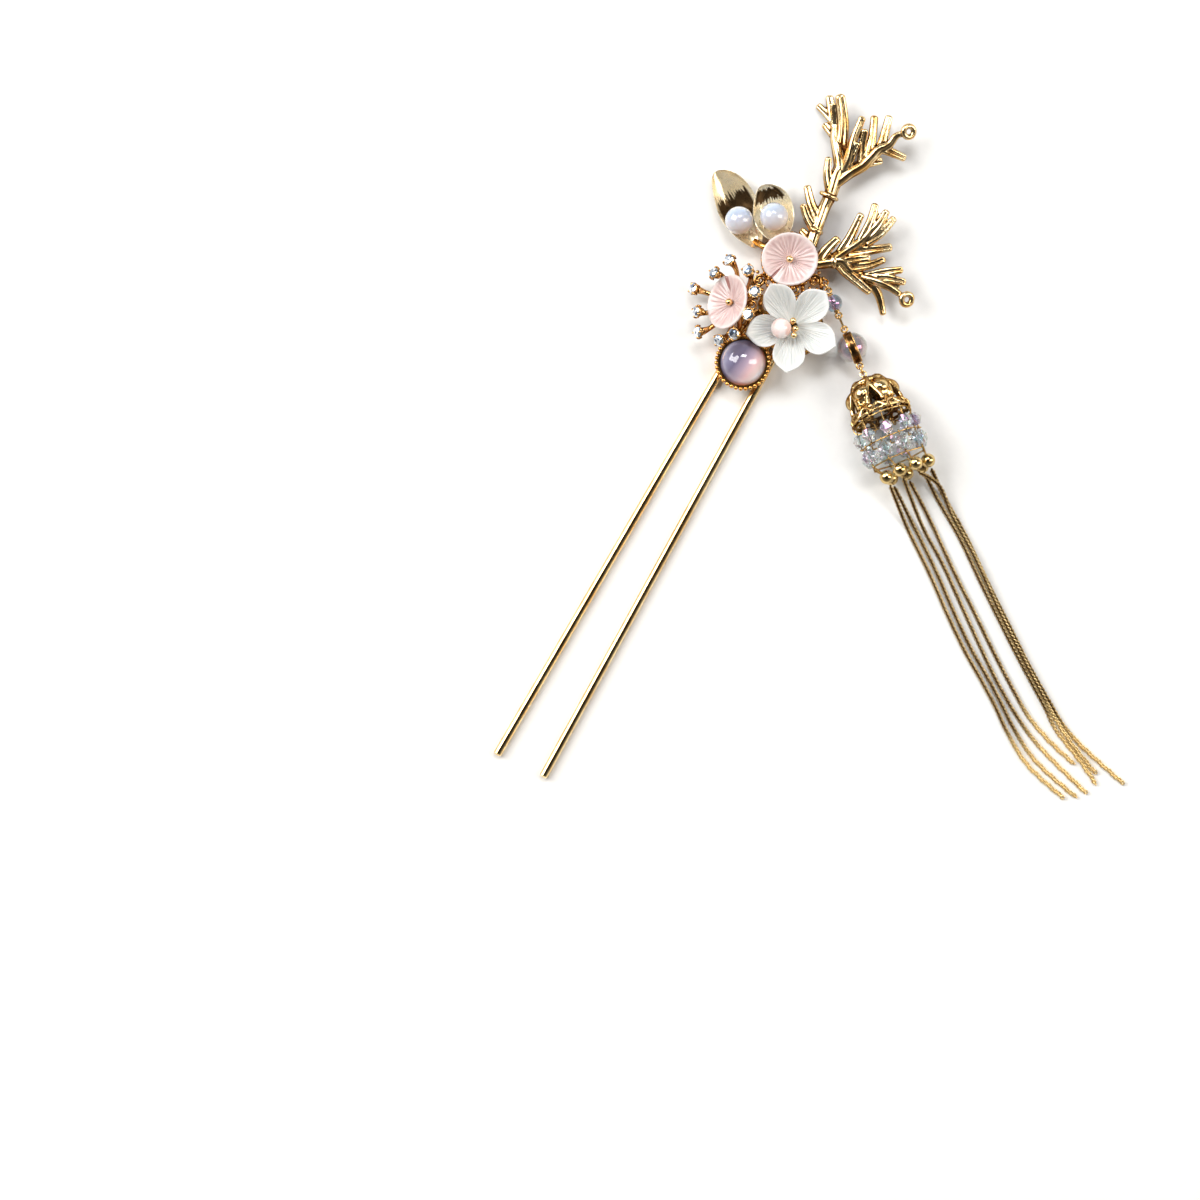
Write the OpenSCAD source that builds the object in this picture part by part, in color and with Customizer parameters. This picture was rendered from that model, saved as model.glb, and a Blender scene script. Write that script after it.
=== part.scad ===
// A buyao hairpin lying on its back: a hair fork with a filigree head of flowers, leaves and
// coral, and a tassel of crystals and fine chains. The prongs point to -Y and the face to +Z.

/* [Hair fork] */
// Diameter of the fork's wire
wire_d = 1.8; // [1.4:0.1:2.4]
// Length of the right prong, from the bend to its tip
prong_l = 103; // [80:1:125]
// How much longer the left prong is
prong_extra = 0.7; // [0:0.1:5]
// Length of each prong's tapered root, which lies under the head
prong_root = 16; // [15:0.5:20]
// Distance between the prongs at the tips
tip_spread = 10.6; // [9:0.1:14]
// Distance between the prongs at the bend
bend_spread = 8; // [6:0.1:9]
// Bevel at the tips
tip_bevel = 0.3; // [0.1:0.05:0.6]
// How far the fork is turned from the head's own line
fork_turn = 1.5; // [0:0.5:4]

/* [Filigree base] */
// Thickness of the pierced plate
plate_t = 1; // [0.8:0.1:1.6]
// Width of the outer band of each rosette
band_w = 0.8; // [0.6:0.1:1.2]
// Width of the lace wires
lace_w = 0.5; // [0.4:0.05:0.8]
// Diameter of the granules
granule_d = 0.9; // [0.7:0.05:1.1]
// Clearance between neighbouring pieces
gap = 0.1; // [0.08:0.01:0.15]

/* [Cabochon] */
// Diameter of the large round stone
cab_d = 9.6; // [8:0.2:12]
// Height of its straight edge
cab_edge = 1.4; // [1:0.1:2]
// Height of its dome
cab_dome = 3.6; // [2.5:0.1:4.4]
// Wall of its setting
setting_wall = 0.45; // [0.3:0.05:0.7]
// Height of the setting above the plate
setting_h = 1.9; // [1.5:0.1:2.6]

/* [White flower] */
// Width across the tips of the petals
white_d = 20; // [16:0.5:24]
// Thickness of the petals
white_t = 0.6; // [0.4:0.05:1]
// How far the petals rise towards their tips
white_cup = 3.2; // [2:0.1:4.5]
// Height of the flower above the plate
white_rise = 1.75; // [0.8:0.05:2]
// Diameter of the pearl
pearl_d = 4.3; // [3:0.1:5]
// Diameter of the gold balls beside the pearl
stamen_d = 1.3; // [1:0.1:1.6]

/* [Pink flowers] */
// Width of a pink flower
pink_d = 11.4; // [10:0.5:14]
// Thickness of its wall
pink_t = 0.55; // [0.4:0.05:0.8]
// How far its rim rises
pink_cup = 1.6; // [1:0.1:2.5]
// Height of the upper pink flower above the plate
pink_rise = 2.1; // [1.8:0.1:3]
// Diameter of the ball in its middle
pin_ball_d = 1.5; // [1.2:0.1:2]
// Diameter of the pins' wire
pin_d = 0.7; // [0.5:0.05:0.9]

/* [Stone burst] */
// Width of the ring of stones round the lower pink flower
burst_d = 17; // [15:0.5:20]
// Lean of the burst, away from facing up
burst_tilt = 41; // [25:1:48]
// Height of its flower's rim above the plate
burst_rise = 4.6; // [3.9:0.1:6]
// Diameter of the small clear stones
stone_d = 2; // [1.6:0.1:2.2]
// Wall of a stone's cup
cup_wall = 0.3; // [0.2:0.05:0.45]
// Diameter of the burst's arms
arm_d = 1; // [0.7:0.05:1.1]

/* [Leaves] */
// Length of the long leaf
leaf_long = 18; // [14:0.5:22]
// Length of the short leaf
leaf_short = 12.6; // [11:0.2:15]
// Half width of a leaf at its widest
leaf_half = 4.8; // [4:0.1:5.6]
// Depth of a leaf's cup
leaf_cup = 2; // [1.4:0.1:2.6]
// Thickness of a leaf
leaf_t = 0.6; // [0.4:0.05:0.9]
// Diameter of the milky beads in the leaves
opal_d = 5.9; // [5:0.1:6.4]

/* [Coral branches] */
// Length of the upper branch
coral_upper = 31.5; // [26:0.5:38]
// Length of the lower branch
coral_lower = 22; // [18:0.5:26]
// Outer diameter of the ring on a branch's end
coral_ring = 3.4; // [2.6:0.1:4]

/* [Tassel top] */
// Diameter of the wire of the links and pins
link_wire = 0.44; // [0.4:0.02:0.6]
// Inner diameter of the eyes on the pins
eye_d = 0.8; // [0.75:0.05:1.1]
// Length of the gap that the long link spans
long_link = 3.1; // [2.4:0.1:4]
// Diameter of the small round crystal
bead_small = 3.7; // [3:0.1:4.6]
// Diameter of the large round crystal
bead_large = 6.4; // [5:0.1:7]

/* [Lantern] */
// Length of the openwork cap
cap_l = 9.9; // [9:0.1:12]
// Diameter of its rim
cap_d = 13; // [12:0.2:15]
// Wall of the cap
cap_wall = 0.6; // [0.5:0.05:0.9]
// Diameter of the net's upper crystals
net_upper = 3; // [2.4:0.1:3.2]
// Diameter of the net's lower crystals
net_lower = 3.6; // [3:0.1:3.7]
// Diameter of the net's wire
net_wire_d = 0.4; // [0.3:0.05:0.5]
// Diameter of the gold balls
ball_d = 3; // [2.4:0.1:3.2]

/* [Chains] */
// Thickness of a chain
chain_d = 0.95; // [0.7:0.05:1]

/* [Hidden] */
$fn = 64;

gold = "#d9a441";
dark_gold = "#8a6424";
shell_pink = "#f0cfcb";
shell_white = "#dfe4de";
clear = "#dfe8f2";
milky = "#dcdcf0";

// General functions
function polar(r, a) = [r * cos(a), r * sin(a)];
function mix(p, q, s) = p + (q - p) * s;
function unit(v) = v / norm(v);
function lift(p, z) = [p.x, p.y, z];
function wrap(a, step) = a - step * round(a / step);
function tangent(p, i) = unit(p[min(i + 1, len(p) - 1)] - p[max(i - 1, 0)]);
function catmull(a, b, c, d, s) =
  0.5 * (2 * b + (c - a) * s + (2 * a - 5 * b + 4 * c - d) * s ^ 2 + (3 * b - a - 3 * c + d) * s ^ 3);
function spline_at(p, s) =
  let (n = len(p) - 1, i = min(floor(s * n), n - 1), f = s * n - i)
  catmull(p[max(i - 1, 0)], p[i], p[i + 1], p[min(i + 2, n)], f);

// Heights of the layers of the head
plate_z = wire_d + gap;
plate_top = plate_z + plate_t;
over_granules = plate_top + granule_d / 2 + gap;

// Places of the settings in the head, worked out from the cabochon in its middle
setting_r = cab_d / 2 + gap + setting_wall;
white_at = polar(setting_r + 0.37 * white_d, 67);
pink_at = white_at + polar(0.41 * white_d + 0.5 * pink_d, 123.5);
burst_at = polar(setting_r + 0.44 * burst_d, 134.7);
leaf_root = pink_at + pink_d * [-0.43, 0.02];
coral_upper_root = pink_at + pink_d * [0.2, 0.42];
coral_lower_root = pink_at + pink_d * [0.43, 0.17];
tassel_at = pink_at + pink_d * [0.77, -0.02];

// Fork
wire_r = wire_d / 2;
bend_r = bend_spread / 2;
bend_at = [0.8, 7.5];
splay = atan((tip_spread - bend_spread) / 2 / prong_l);
// Under the head the wire is hammered thinner, most at the bend. The tapered roots lap over its ends
bend_wire = 0.92;
root_wire = 0.96;
prong_lap = 0.25;

// Burst: its local Z leans towards burst_turn
burst_turn = 199;
burst_z = plate_top + burst_rise;
hub_drop = 3;
hub_r = 2.2;
// The plate's rosette under the hub ends where the arms come down
burst_seat_r = 2.9;
hub_t = 0.9;
cup_r = stone_d / 2 + gap + cup_wall;
cup_h = 1.1;
claw_d = 0.44;
claw_rise = 0.12;
claw_tip = 0.18;
knee_drop = 1.2;
cup_splay = 20;
flower_lean = 6;
burst_foot = burst_at - hub_drop * sin(burst_tilt) * polar(1, burst_turn);
hub_z = burst_z - hub_drop * cos(burst_tilt);
// Columns: turn round the burst, reach and rise as shares of its width
STONES = [
  [-88, 0.50, 0.14], [-54, 0.39, 0.12], [-9, 0.50, 0.13], [28, 0.41, 0.13], [57, 0.52, 0.12],
  [100, 0.50, 0.13], [127, 0.48, 0.12], [166, 0.47, 0.13], [200, 0.51, 0.12], [233, 0.52, 0.14]];

// Pieces of the filigree plate. Columns: place and radius as shares of the white flower's width
// from its middle, and the number of lace loops
SCROLLS = [
  [0.02, 0.00, 0.31, 6], [-0.47, 0.21, 0.13, 0], [-0.33, 0.07, 0.11, 0],
  [-0.18, -0.34, 0.10, 0], [-0.03, 0.45, 0.12, 0]];
// Which of them carry granules
GRANULED = [1, 4];
boss_r = 1.5;

// Leaves. Columns: share of the length, left half width, right half width, height of the keel
LEAF = [
  [0.00, 0.16, 0.16, 1.05], [0.10, 0.42, 0.48, 0.98], [0.22, 0.63, 0.74, 0.60],
  [0.34, 0.75, 0.90, 0.22], [0.46, 0.80, 0.98, 0.03], [0.58, 0.77, 1.00, 0.00],
  [0.70, 0.66, 0.96, 0.10], [0.81, 0.52, 0.84, 0.26], [0.90, 0.37, 0.64, 0.42],
  [0.96, 0.24, 0.42, 0.54], [1.00, 0.05, 0.12, 0.62]];
leaf_steps = 8;
leaf_stem_r = 0.8;
leaf_pin_r = 0.3;
// The beads clear the leaf's raised edges
opal_lift = 0.66;

// Coral branches. Each stem is a list of rows in hundredths of its branch's length:
// to the right, up the head, towards the face, and the half thickness there
UPPER_LIMBS = [
  [[0, 0, 0, 3.6], [-3, 15, 0, 3.5], [-5, 26, -1, 3.4], [-6, 35, -1, 3.6], [-9, 48, -2, 4.0],
    [-10, 55, -3, 4.2], [-17, 64, -4, 4.2], [-22, 70, -6, 4.0], [-27, 78, -7, 2.6]],
  [[-7, 44, -2, 3.6], [-3, 54, -1, 3.7], [2, 63, 0, 3.6], [4, 70, 1, 3.2], [6, 77, 2, 3.0],
    [10, 83, 3, 2.4], [11, 90, 4, 2.0], [14, 94, 5, 1.6]],
  [[-7, 50, -2, 2.8], [-8, 61, 2, 2.6], [-12, 75, 4, 2.4], [-14, 88, 5, 2.0]]];
UPPER_TWIGS = [
  [[-22, 71, -6, 3.0], [-33, 83, -10, 2.6], [-39, 90, -12, 2.3]],
  [[-14, 62, -4, 3.4], [-23, 80, -3, 3.0], [-33, 93, -2, 2.9]],
  [[-26, 77, -7, 2.6], [-34, 80, -10, 2.3], [-42, 82, -12.4, 2.0]],
  [[-21, 69, -6, 2.4], [-32, 73, -8, 2.1]],
  [[-8, 38, -1, 2.6], [-15, 46, 1, 2.3], [-19, 54, 2, 2.0]],
  [[-6, 54, -1, 2.4], [-7, 63, 3, 2.1], [-8, 72, 5, 1.9]],
  [[0, 65, 0, 2.4], [-5, 74, 2, 2.1], [-8, 82, 4, 1.9]],
  [[3, 69, 1, 2.6], [-2, 82, 0, 2.4], [-7, 93, -2, 2.2]],
  [[7, 77, 2, 2.6], [4, 88, 0, 2.4], [1, 98, -1, 2.2]],
  [[8, 79, 2, 2.6], [15, 80, 1, 2.4], [22, 81, -1, 2.2]],
  [[2, 64, 0, 2.6], [10, 71, -3, 2.2]],
  [[-4, 17, 0, 2.8], [-13, 23, -1, 2.5], [-21, 31, -3, 2.2]],
  [[-3, 10, 0, 2.6], [-11, 14, 2, 2.3], [-17, 19, 3, 2.0]],
  [[-1, 3, 0, 2.6], [-9, 5, -2, 2.2]]];
UPPER_COLLARS = [[-2, 10, 0, 4.6], [-6.5, 34, -1, 6.2]];
// Which limb ends in the ring
UPPER_RING = 1;
LOWER_LIMBS = [
  [[0, 0, 0, 5.2], [13, 10, 0, 5.2], [21, 15, 0, 5.2], [31, 12, 0, 4.6], [44, 13, -2, 4.0],
    [54, 12, -4, 4.0], [67, 6, -7, 3.4], [79, -6, -9, 2.6]],
  [[12, 10, 0, 4.8], [19, 25, 1, 4.4], [25, 36, 2, 4.4], [29, 46, 3, 5.6], [31, 60, 4, 8.6]],
  [[44, 13, -1, 3.2], [56, 15, 2, 3.6], [72, 17, 3, 3.0], [86, 16, 5, 2.4]]];
LOWER_TWIGS = [
  [[2, 2, 1, 4.4], [3, 16, 3, 4.0], [6, 29, 4, 3.4]],
  [[16, 22, 1, 4.0], [16, 39, 4, 3.6], [14, 60, 6, 3.0]],
  [[27, 42, 3, 4.0], [25, 60, 5, 3.4], [21, 75, 5, 3.0]],
  [[29, 44, 3, 4.0], [33, 60, 5, 3.4], [33, 75, 5, 3.0]],
  [[31, 42, 3, 4.0], [39, 57, 4, 3.4], [42, 73, 3, 3.0]],
  [[22, 25, 1, 4.2], [41, 40, 0, 3.6], [52, 49, -2, 3.4]],
  [[20, 14, 1, 3.6], [31, 23, 4, 3.0], [40, 30, 5, 2.6]],
  [[30, 13, 0, 3.8], [45, 25, 5, 3.4], [53, 35, 7, 3.0]],
  [[20, 12, 0, 4.4], [31, 8, 2, 4.0], [56, 4, 4, 3.4]],
  [[48, 14, 0, 3.6], [60, 26, 1, 3.6], [72, 36, 1, 3.0]],
  [[50, 14, 0, 3.6], [66, 23, 2, 3.6], [80, 28, 2, 3.0]]];
LOWER_COLLARS = [[14, 11, 0, 6.8]];
LOWER_RING = 2;
coral_ring_wr = 0.45;
coral_ring_tilt = 25;
collar_t = 0.7;
coral_root_r = 0.3;

// Tassel top: a straight row of links, eyes and crystals, rising so that the beads clear the floor
tassel_turn = -36.5;
link_wr = link_wire / 2;
eye_r = eye_d / 2 + link_wr;
eye_z = plate_z + plate_t / 2;
link_r = eye_r + link_wr + gap;
at_eye_1 = 2 * link_r;
at_small = at_eye_1 + eye_r + link_wr + gap + bead_small / 2;
at_eye_2 = 2 * at_small - at_eye_1;
at_eye_3 = at_eye_2 + long_link;
at_large = at_eye_3 + eye_r + link_wr + gap + bead_large / 2;
at_eye_4 = 2 * at_large - at_eye_3;
at_bail = at_eye_4 + 2 * link_r;
tassel_pitch = asin((bead_large / 2 + gap - eye_z) / at_large);
bail_plan = at_bail * cos(tassel_pitch);
bail_z = eye_z + at_bail * sin(tassel_pitch);

// Lantern: the cap lies on its belly, and its net sags as ovals. cap_pitch rests its rim on the floor
cap_r = cap_d / 2;
cap_pitch = atan(cap_r / cap_l) + asin((gap - bail_z) / norm([cap_r, cap_l]));
// Columns: share of the cap's length from its bail, share of its radius
CAP = [
  [0.065, 0.00], [0.11, 0.20], [0.19, 0.48], [0.26, 0.56], [0.42, 0.71], [0.62, 0.80],
  [0.84, 0.86], [1.00, 1.00]];
// Row where the hollow starts, and the hollow's share of the radius there
hollow_row = 3;
hollow_in = 0.4;
cap_petals = 6;
net_count = 8;
net_wr = net_wire_d / 2;
joint_r = 2.6 * net_wr;
joint_in = 0.8 * joint_r;
hook_r = 1.15;
hook_in = 0.88 * cap_r;
net_in = 0.9 * cap_r;
net_top = cap_l + joint_r + 1.3 * gap;
hook_mid = net_top - hook_r / 2 + 0.2 * gap;
// Stations of the net along the floor from the bail, and how far its rings lean back at the top
ring_a_x = net_top * cos(cap_pitch);
ring_b_x = ring_a_x + 1.5 * net_upper;
ring_c_x = ring_b_x + 1.22 * net_lower;
ball_x = ring_c_x + 0.93 * ball_d;
net_lean = 0.2;
// Half widths, half heights and middles of the oval rings
upper_oval = [cap_r * 0.98, cap_r * 0.65];
lower_oval = [cap_r * 0.95, cap_r * 0.65];
ball_oval = [cap_r * 0.74, cap_r * 0.48];
upper_mid = upper_oval.y + 0.8 * net_upper;
lower_mid = lower_oval.y + net_lower / 2 + gap;
ball_mid = ball_oval.y + ball_d / 2 + gap;
ball_side = 0.8;
ball_count = 7;
ball_turn = 9;

// Where each chain lies, as points chosen by hand: right, up the head and height above the floor,
// from the middle of the cabochon
ROUTES = [
  [[47.3, -11.9, 0.5], [55.9, -17.5, 0.5], [63.8, -23.1, 0.5], [70.8, -27.7, 0.5],
    [76.8, -31.1, 0.5], [82.1, -34.3, 0.5], [86.2, -37.1, 0.5], [92.0, -40.4, 0.5],
    [97.0, -42.0, 0.5], [104.3, -43.3, 0.5]],
  [[48.0, -10.7, 0.5], [56.7, -16.3, 0.5], [64.6, -21.9, 0.5], [71.5, -26.5, 0.5],
    [77.5, -29.9, 0.5], [82.8, -33.1, 0.5], [87.0, -35.8, 0.5], [92.8, -38.8, 0.5],
    [98.2, -40.4, 0.5], [106.5, -41.8, 0.5]],
  [[46.6, -7.8, 3.6], [51.0, -10.8, 1.2], [57.2, -14.4, 0.5], [64.8, -19.6, 0.5],
    [72.2, -24.7, 0.5], [79.0, -29.2, 0.5], [86.0, -33.2, 0.5], [92.0, -35.9, 0.5],
    [98.0, -37.7, 0.5], [107.5, -39.9, 0.5]],
  [[49.5, -7.4, 0.5], [56.3, -12.0, 0.5], [62.0, -15.8, 0.5], [67.7, -19.4, 0.5],
    [76.0, -24.8, 0.5], [83.5, -29.4, 0.5], [88.9, -32.4, 0.5], [94.0, -34.2, 0.5],
    [98.4, -35.3, 0.5], [102.4, -36.0, 0.5]],
  [[49.4, -3.4, 0.5], [57.6, -8.0, 0.5], [66.5, -13.9, 0.5], [76.0, -20.0, 0.5],
    [81.6, -23.5, 0.5], [87.0, -26.7, 0.5], [91.2, -29.2, 0.5], [95.4, -31.9, 0.5],
    [102.6, -34.7, 0.5], [108.6, -37.4, 0.5]],
  [[50.2, -2.2, 0.5], [58.2, -6.8, 0.5], [67.2, -12.8, 0.5], [76.6, -18.8, 0.5],
    [82.2, -22.4, 0.5], [87.6, -25.6, 0.5], [91.9, -28.0, 0.5], [96.2, -30.3, 0.5],
    [102.5, -32.2, 0.5], [113.4, -34.3, 0.5]],
  [[48.2, -0.9, 3.2], [53.8, -4.8, 1.7], [62.4, -9.9, 1.6], [71.6, -16.2, 1.6],
    [79.2, -21.1, 1.6], [84.6, -24.4, 1.6], [89.4, -27.3, 1.6], [94.0, -30.0, 1.6],
    [99.4, -32.6, 1.3], [107.2, -35.4, 0.5]]];
chain_rings = 20;
chain_sides = 8;
// Which gold ball holds each chain
CHAIN_BALL = [3, 4, 2, 5, 6, 0, 1];

// The middle of the whole piece goes to the origin
reach_left = -leaf_long * 0.87 - 0.85 * pink_d;
reach_right = ROUTES[5][9].x;
reach_top = coral_upper_root.y + coral_upper + 0.5;
reach_low = bend_at.y - prong_l - prong_extra;
middle = [(reach_left + reach_right) / 2, (reach_low + reach_top) / 2];

// Frames
module in_place() {
  translate([-middle.x, -middle.y, 0]) children();
}

module on_burst(w = 0) {
  translate([burst_at.x, burst_at.y, burst_z]) rotate([0, burst_tilt, burst_turn])
    translate([0, 0, w]) children();
}

// The burst's flower leans a little more than its ring of stones
module on_flower(w = 0) {
  on_burst(-hub_drop) rotate([0, flower_lean, 0]) translate([0, 0, hub_drop + w]) children();
}

module on_stone(i) {
  row = STONES[i];
  on_burst() rotate([0, 0, row[0]]) translate([row[1] * burst_d, 0, row[2] * burst_d])
    rotate([0, cup_splay, 0]) children();
}

module on_tassel(s) {
  translate([tassel_at.x, tassel_at.y, eye_z]) rotate([0, -tassel_pitch, tassel_turn])
    translate([s, 0, 0]) children();
}

module on_cap(t = 0) {
  on_tassel(at_bail) rotate([0, tassel_pitch - cap_pitch, 0]) translate([t, 0, 0]) children();
}

module on_net() {
  translate([tassel_at.x, tassel_at.y, 0]) rotate([0, 0, tassel_turn])
    translate([bail_plan, 0, 0]) children();
}

// Shapes used by several pieces
module between(p, q) {
  d = q - p;
  translate(p) rotate([0, acos(d.z / norm(d)), atan2(d.y, d.x)]) children();
}

module rod(p, q, r1, r2) {
  between(p, q) cylinder(r1 = r1, r2 = r2, h = norm(q - p));
}

module bar(p, q, r) {
  rod(p, q, r, r);
}

// The same, stopping short of both ends by start and end
module strut(p, q, r, start, end) {
  d = unit(q - p);
  bar(p + start * d, q - end * d, r);
}

module ring(r, wire_r, around = $fn, sides = $fn) {
  rotate_extrude($fn = around) translate([r, 0]) circle(wire_r, $fn = sides);
}

module flat_bar(p, q, w) {
  d = q - p;
  translate(p) rotate(atan2(d.y, d.x)) translate([0, -w / 2]) square([norm(d), w]);
}

// A tube through points, with a radius at each. up is a direction that no part of it follows
module tube(points, radii, sides, up = [0, 0, 1]) {
  n = len(points);
  sections = [for (i = [0:n - 1])
    let (t = tangent(points, i), across = unit(cross(up, t)), face = cross(t, across))
    for (k = [0:sides - 1])
      points[i] + radii[i] * (cos(360 * k / sides) * across + sin(360 * k / sides) * face)];
  skin = [for (i = [0:n - 2]) for (k = [0:sides - 1])
    let (a = i * sides + k, b = i * sides + (k + 1) % sides)
    each [[a, a + sides, b], [b, a + sides, b + sides]]];
  start = [[for (k = [0:sides - 1]) k]];
  end = [[for (k = [0:sides - 1]) n * sides - 1 - k]];
  polyhedron(sections, concat(skin, start, end));
}

// A flower's wall: radius and height are functions of the direction and the share of the radius
module petals(edge, rise, hole_r, t, rings, segs) {
  function spot(i, j) =
    let (a = 360 * j / segs, s = i / rings, r = hole_r + (edge(a) - hole_r) * s)
    [r * cos(a), r * sin(a), rise(a, s)];
  top = [for (i = [0:rings]) for (j = [0:segs - 1]) spot(i, j) + [0, 0, t]];
  bottom = [for (i = [0:rings]) for (j = [0:segs - 1]) spot(i, j)];
  m = len(top);
  faces = [for (i = [0:rings - 1]) for (j = [0:segs - 1])
    let (a = i * segs + j, b = i * segs + (j + 1) % segs, c = a + segs, d = b + segs)
    each [[a, b, c], [b, d, c], [m + a, m + c, m + b], [m + b, m + c, m + d]]];
  walls = [for (j = [0:segs - 1])
    let (a = j, b = (j + 1) % segs, c = rings * segs + a, d = rings * segs + b)
    each [[a, m + a, b], [b, m + a, m + b], [c, d, m + c], [d, m + d, m + c]]];
  polyhedron(concat(top, bottom), concat(faces, walls));
}

// A drilled round crystal, cut with flat facets, along Z
crystal_half = 0.44;
crystal_end = 0.27;
crystal_belt = 0.1;

module crystal(d, sides, wire_r = net_wr) {
  bore = wire_r + 1.5 * gap;
  rotate_extrude($fn = sides)
    polygon(d * [[bore / d, -crystal_half], [crystal_end, -crystal_half], [0.5, -crystal_belt],
      [0.5, crystal_belt], [crystal_end, crystal_half], [bore / d, crystal_half]]);
}

// Hair fork: one bent wire, its prongs opening slightly towards the bevelled tips
module prong(length) {
  translate([0, 0, -prong_lap])
    cylinder(r1 = root_wire * wire_r, r2 = wire_r, h = prong_root + prong_lap);
  translate([0, 0, prong_root]) cylinder(r = wire_r, h = length - tip_bevel - prong_root);
  translate([0, 0, length - tip_bevel])
    cylinder(r1 = wire_r, r2 = wire_r - tip_bevel, h = tip_bevel);
}

module hair_fork() {
  color(gold) in_place() translate([bend_at.x, bend_at.y, wire_r]) rotate([0, 0, fork_turn]) {
    rotate_extrude(angle = 180) translate([bend_r, 0]) circle(bend_wire * wire_r);
    for (side = [-1, 1]) translate([side * bend_r, 0, 0]) rotate([90, 0, side * splay])
      prong(prong_l + (side < 0 ? prong_extra : 0));
  }
}

// Filigree base: pierced plate, with the beaded setting and the tassel's eye soldered on
module rosette(r, loops) {
  difference() {
    circle(r);
    circle(r - band_w);
  }
  if (loops > 0) {
    circle(boss_r);
    loop_r = (r - band_w - boss_r) / 2 + lace_w / 2;
    for (i = [0:loops - 1]) rotate(360 * i / loops) translate([boss_r + loop_r - lace_w / 2, 0])
      difference() {
        circle(loop_r);
        circle(loop_r - lace_w);
      }
  }
}

module granule_ring(r, z, pitch) {
  n = floor(360 / (2 * asin(pitch * granule_d / 2 / r)));
  for (i = [0:n - 1]) rotate([0, 0, 360 * i / n]) translate([r, 0, z]) sphere(d = granule_d);
}

module plate_outline() {
  for (row = SCROLLS) translate(white_at + white_d * [row[0], row[1]]) rosette(white_d * row[2], row[3]);
  translate(pink_at) rosette(0.52 * pink_d, 6);
  translate(burst_foot) rosette(burst_seat_r, 0);
  circle(setting_r);
  for (p = [leaf_root, coral_upper_root, coral_lower_root]) translate(p) circle(boss_r * 0.8);
  flat_bar(pink_at + [0.45 * pink_d, 0], tassel_at - [eye_r, 0], band_w);
  flat_bar(burst_foot, white_at, band_w);
  flat_bar(burst_foot, pink_at, band_w);
  flat_bar([0, 0], burst_foot, band_w);
  flat_bar([0, 0], white_at, band_w);
}

module filigree_base() {
  bored = [[white_at, pin_d], [pink_at, pin_d], [burst_foot, 2 * arm_d], [leaf_root, pin_d],
    [coral_upper_root, pin_d], [coral_lower_root, pin_d]];
  color(gold) in_place() difference() {
    union() {
      translate([0, 0, plate_z]) linear_extrude(plate_t) plate_outline();
      translate([0, 0, plate_z]) cylinder(r = setting_r, h = plate_t + setting_h);
      granule_ring(setting_r + 0.13 * granule_d, plate_top + setting_h - 0.4 * granule_d, 1.12);
      translate(lift(tassel_at, eye_z)) ring(eye_r, link_wr);
      translate(lift(pink_at, plate_top)) granule_ring(0.52 * pink_d - band_w / 2, 0, 1.7);
      for (i = GRANULED) translate(lift(white_at + white_d * [SCROLLS[i][0], SCROLLS[i][1]], plate_top))
        granule_ring(white_d * SCROLLS[i][2] - band_w / 2, 0, 1.7);
    }
    translate([0, 0, plate_top - plate_t / 2]) cylinder(r = cab_d / 2 + gap, h = setting_h + plate_t);
    translate([0, 0, plate_z - gap]) cylinder(r = cab_d / 3, h = plate_t);
    for (b = bored) translate(lift(b[0], plate_z - gap)) cylinder(d = b[1] + 2 * gap, h = plate_t + 1);
  }
}

// Cabochon: a domed round stone, held by the beaded edge of its setting
module cabochon() {
  ball_r = (cab_d ^ 2 / 4 + cab_dome ^ 2) / (2 * cab_dome);
  base_z = plate_top - plate_t / 2 + gap;
  edge_z = base_z + cab_edge;
  color("#b9a9c4") in_place() {
    translate([0, 0, base_z]) cylinder(d = cab_d, h = cab_edge);
    intersection() {
      translate([0, 0, edge_z + cab_dome - ball_r]) sphere(ball_r);
      translate([0, 0, edge_z - gap]) cylinder(d = cab_d, h = cab_dome + 2 * gap);
    }
  }
}

// White flower: five pointed petals in one thin cupped wall, with the pearl and gold stamens
white_z = plate_top + white_rise;
white_turn = 5;
white_hole = pin_d / 2 + gap;
petal_step = 72;
function petal_share(a) = abs(wrap(a - white_turn, petal_step)) / (petal_step / 2);
white_edge = function (a)
  let (q = petal_share(a)) white_d / 2 * (1 - 0.14 * q - 0.34 * q ^ 3);
white_rise_at = function (a, s)
  let (q = petal_share(a))
  white_cup * (s ^ 1.5 * (1 - 0.25 * q) + 0.12 * s * (1 - s) * cos(900 * q));

module white_flower() {
  color(shell_white) in_place() translate(lift(white_at, white_z))
    petals(white_edge, white_rise_at, white_hole, white_t, 4, 60);
}

pearl_off = white_d * [-0.09, -0.086];
// Ends of the three stamens, from their foot in the middle of the flower
STAMENS = [[-0.5, 0.95, 1.9], [0.8, -0.25, 2.0], [1.2, -1.6, 2.4]];
pearl_lift = 0.35;
pearl_z = white_z + white_t + white_cup * (2 * norm(pearl_off) / white_d) ^ 1.5 + pearl_d / 2 + pearl_lift;

module pearl() {
  color("#f6e6e4") in_place() translate(lift(white_at + pearl_off, pearl_z)) sphere(d = pearl_d);
}

module stamens() {
  seat = white_z + white_t + 2.8 * gap;
  foot_t = 0.6;
  color(gold) in_place() translate(lift(white_at, 0)) {
    translate([0, 0, plate_z]) cylinder(d = pin_d, h = seat + 0.3 * foot_t - plate_z);
    translate([0, 0, seat]) cylinder(r = 0.8 * stamen_d, h = foot_t);
    for (p = STAMENS) {
      root = [0.35 * p.x, 0.35 * p.y, seat + 0.6 * foot_t];
      tip = [p.x, p.y, seat + foot_t + p.z];
      bar(root, tip, stamen_d / 8);
      translate(tip) sphere(d = stamen_d);
    }
  }
}

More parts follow.
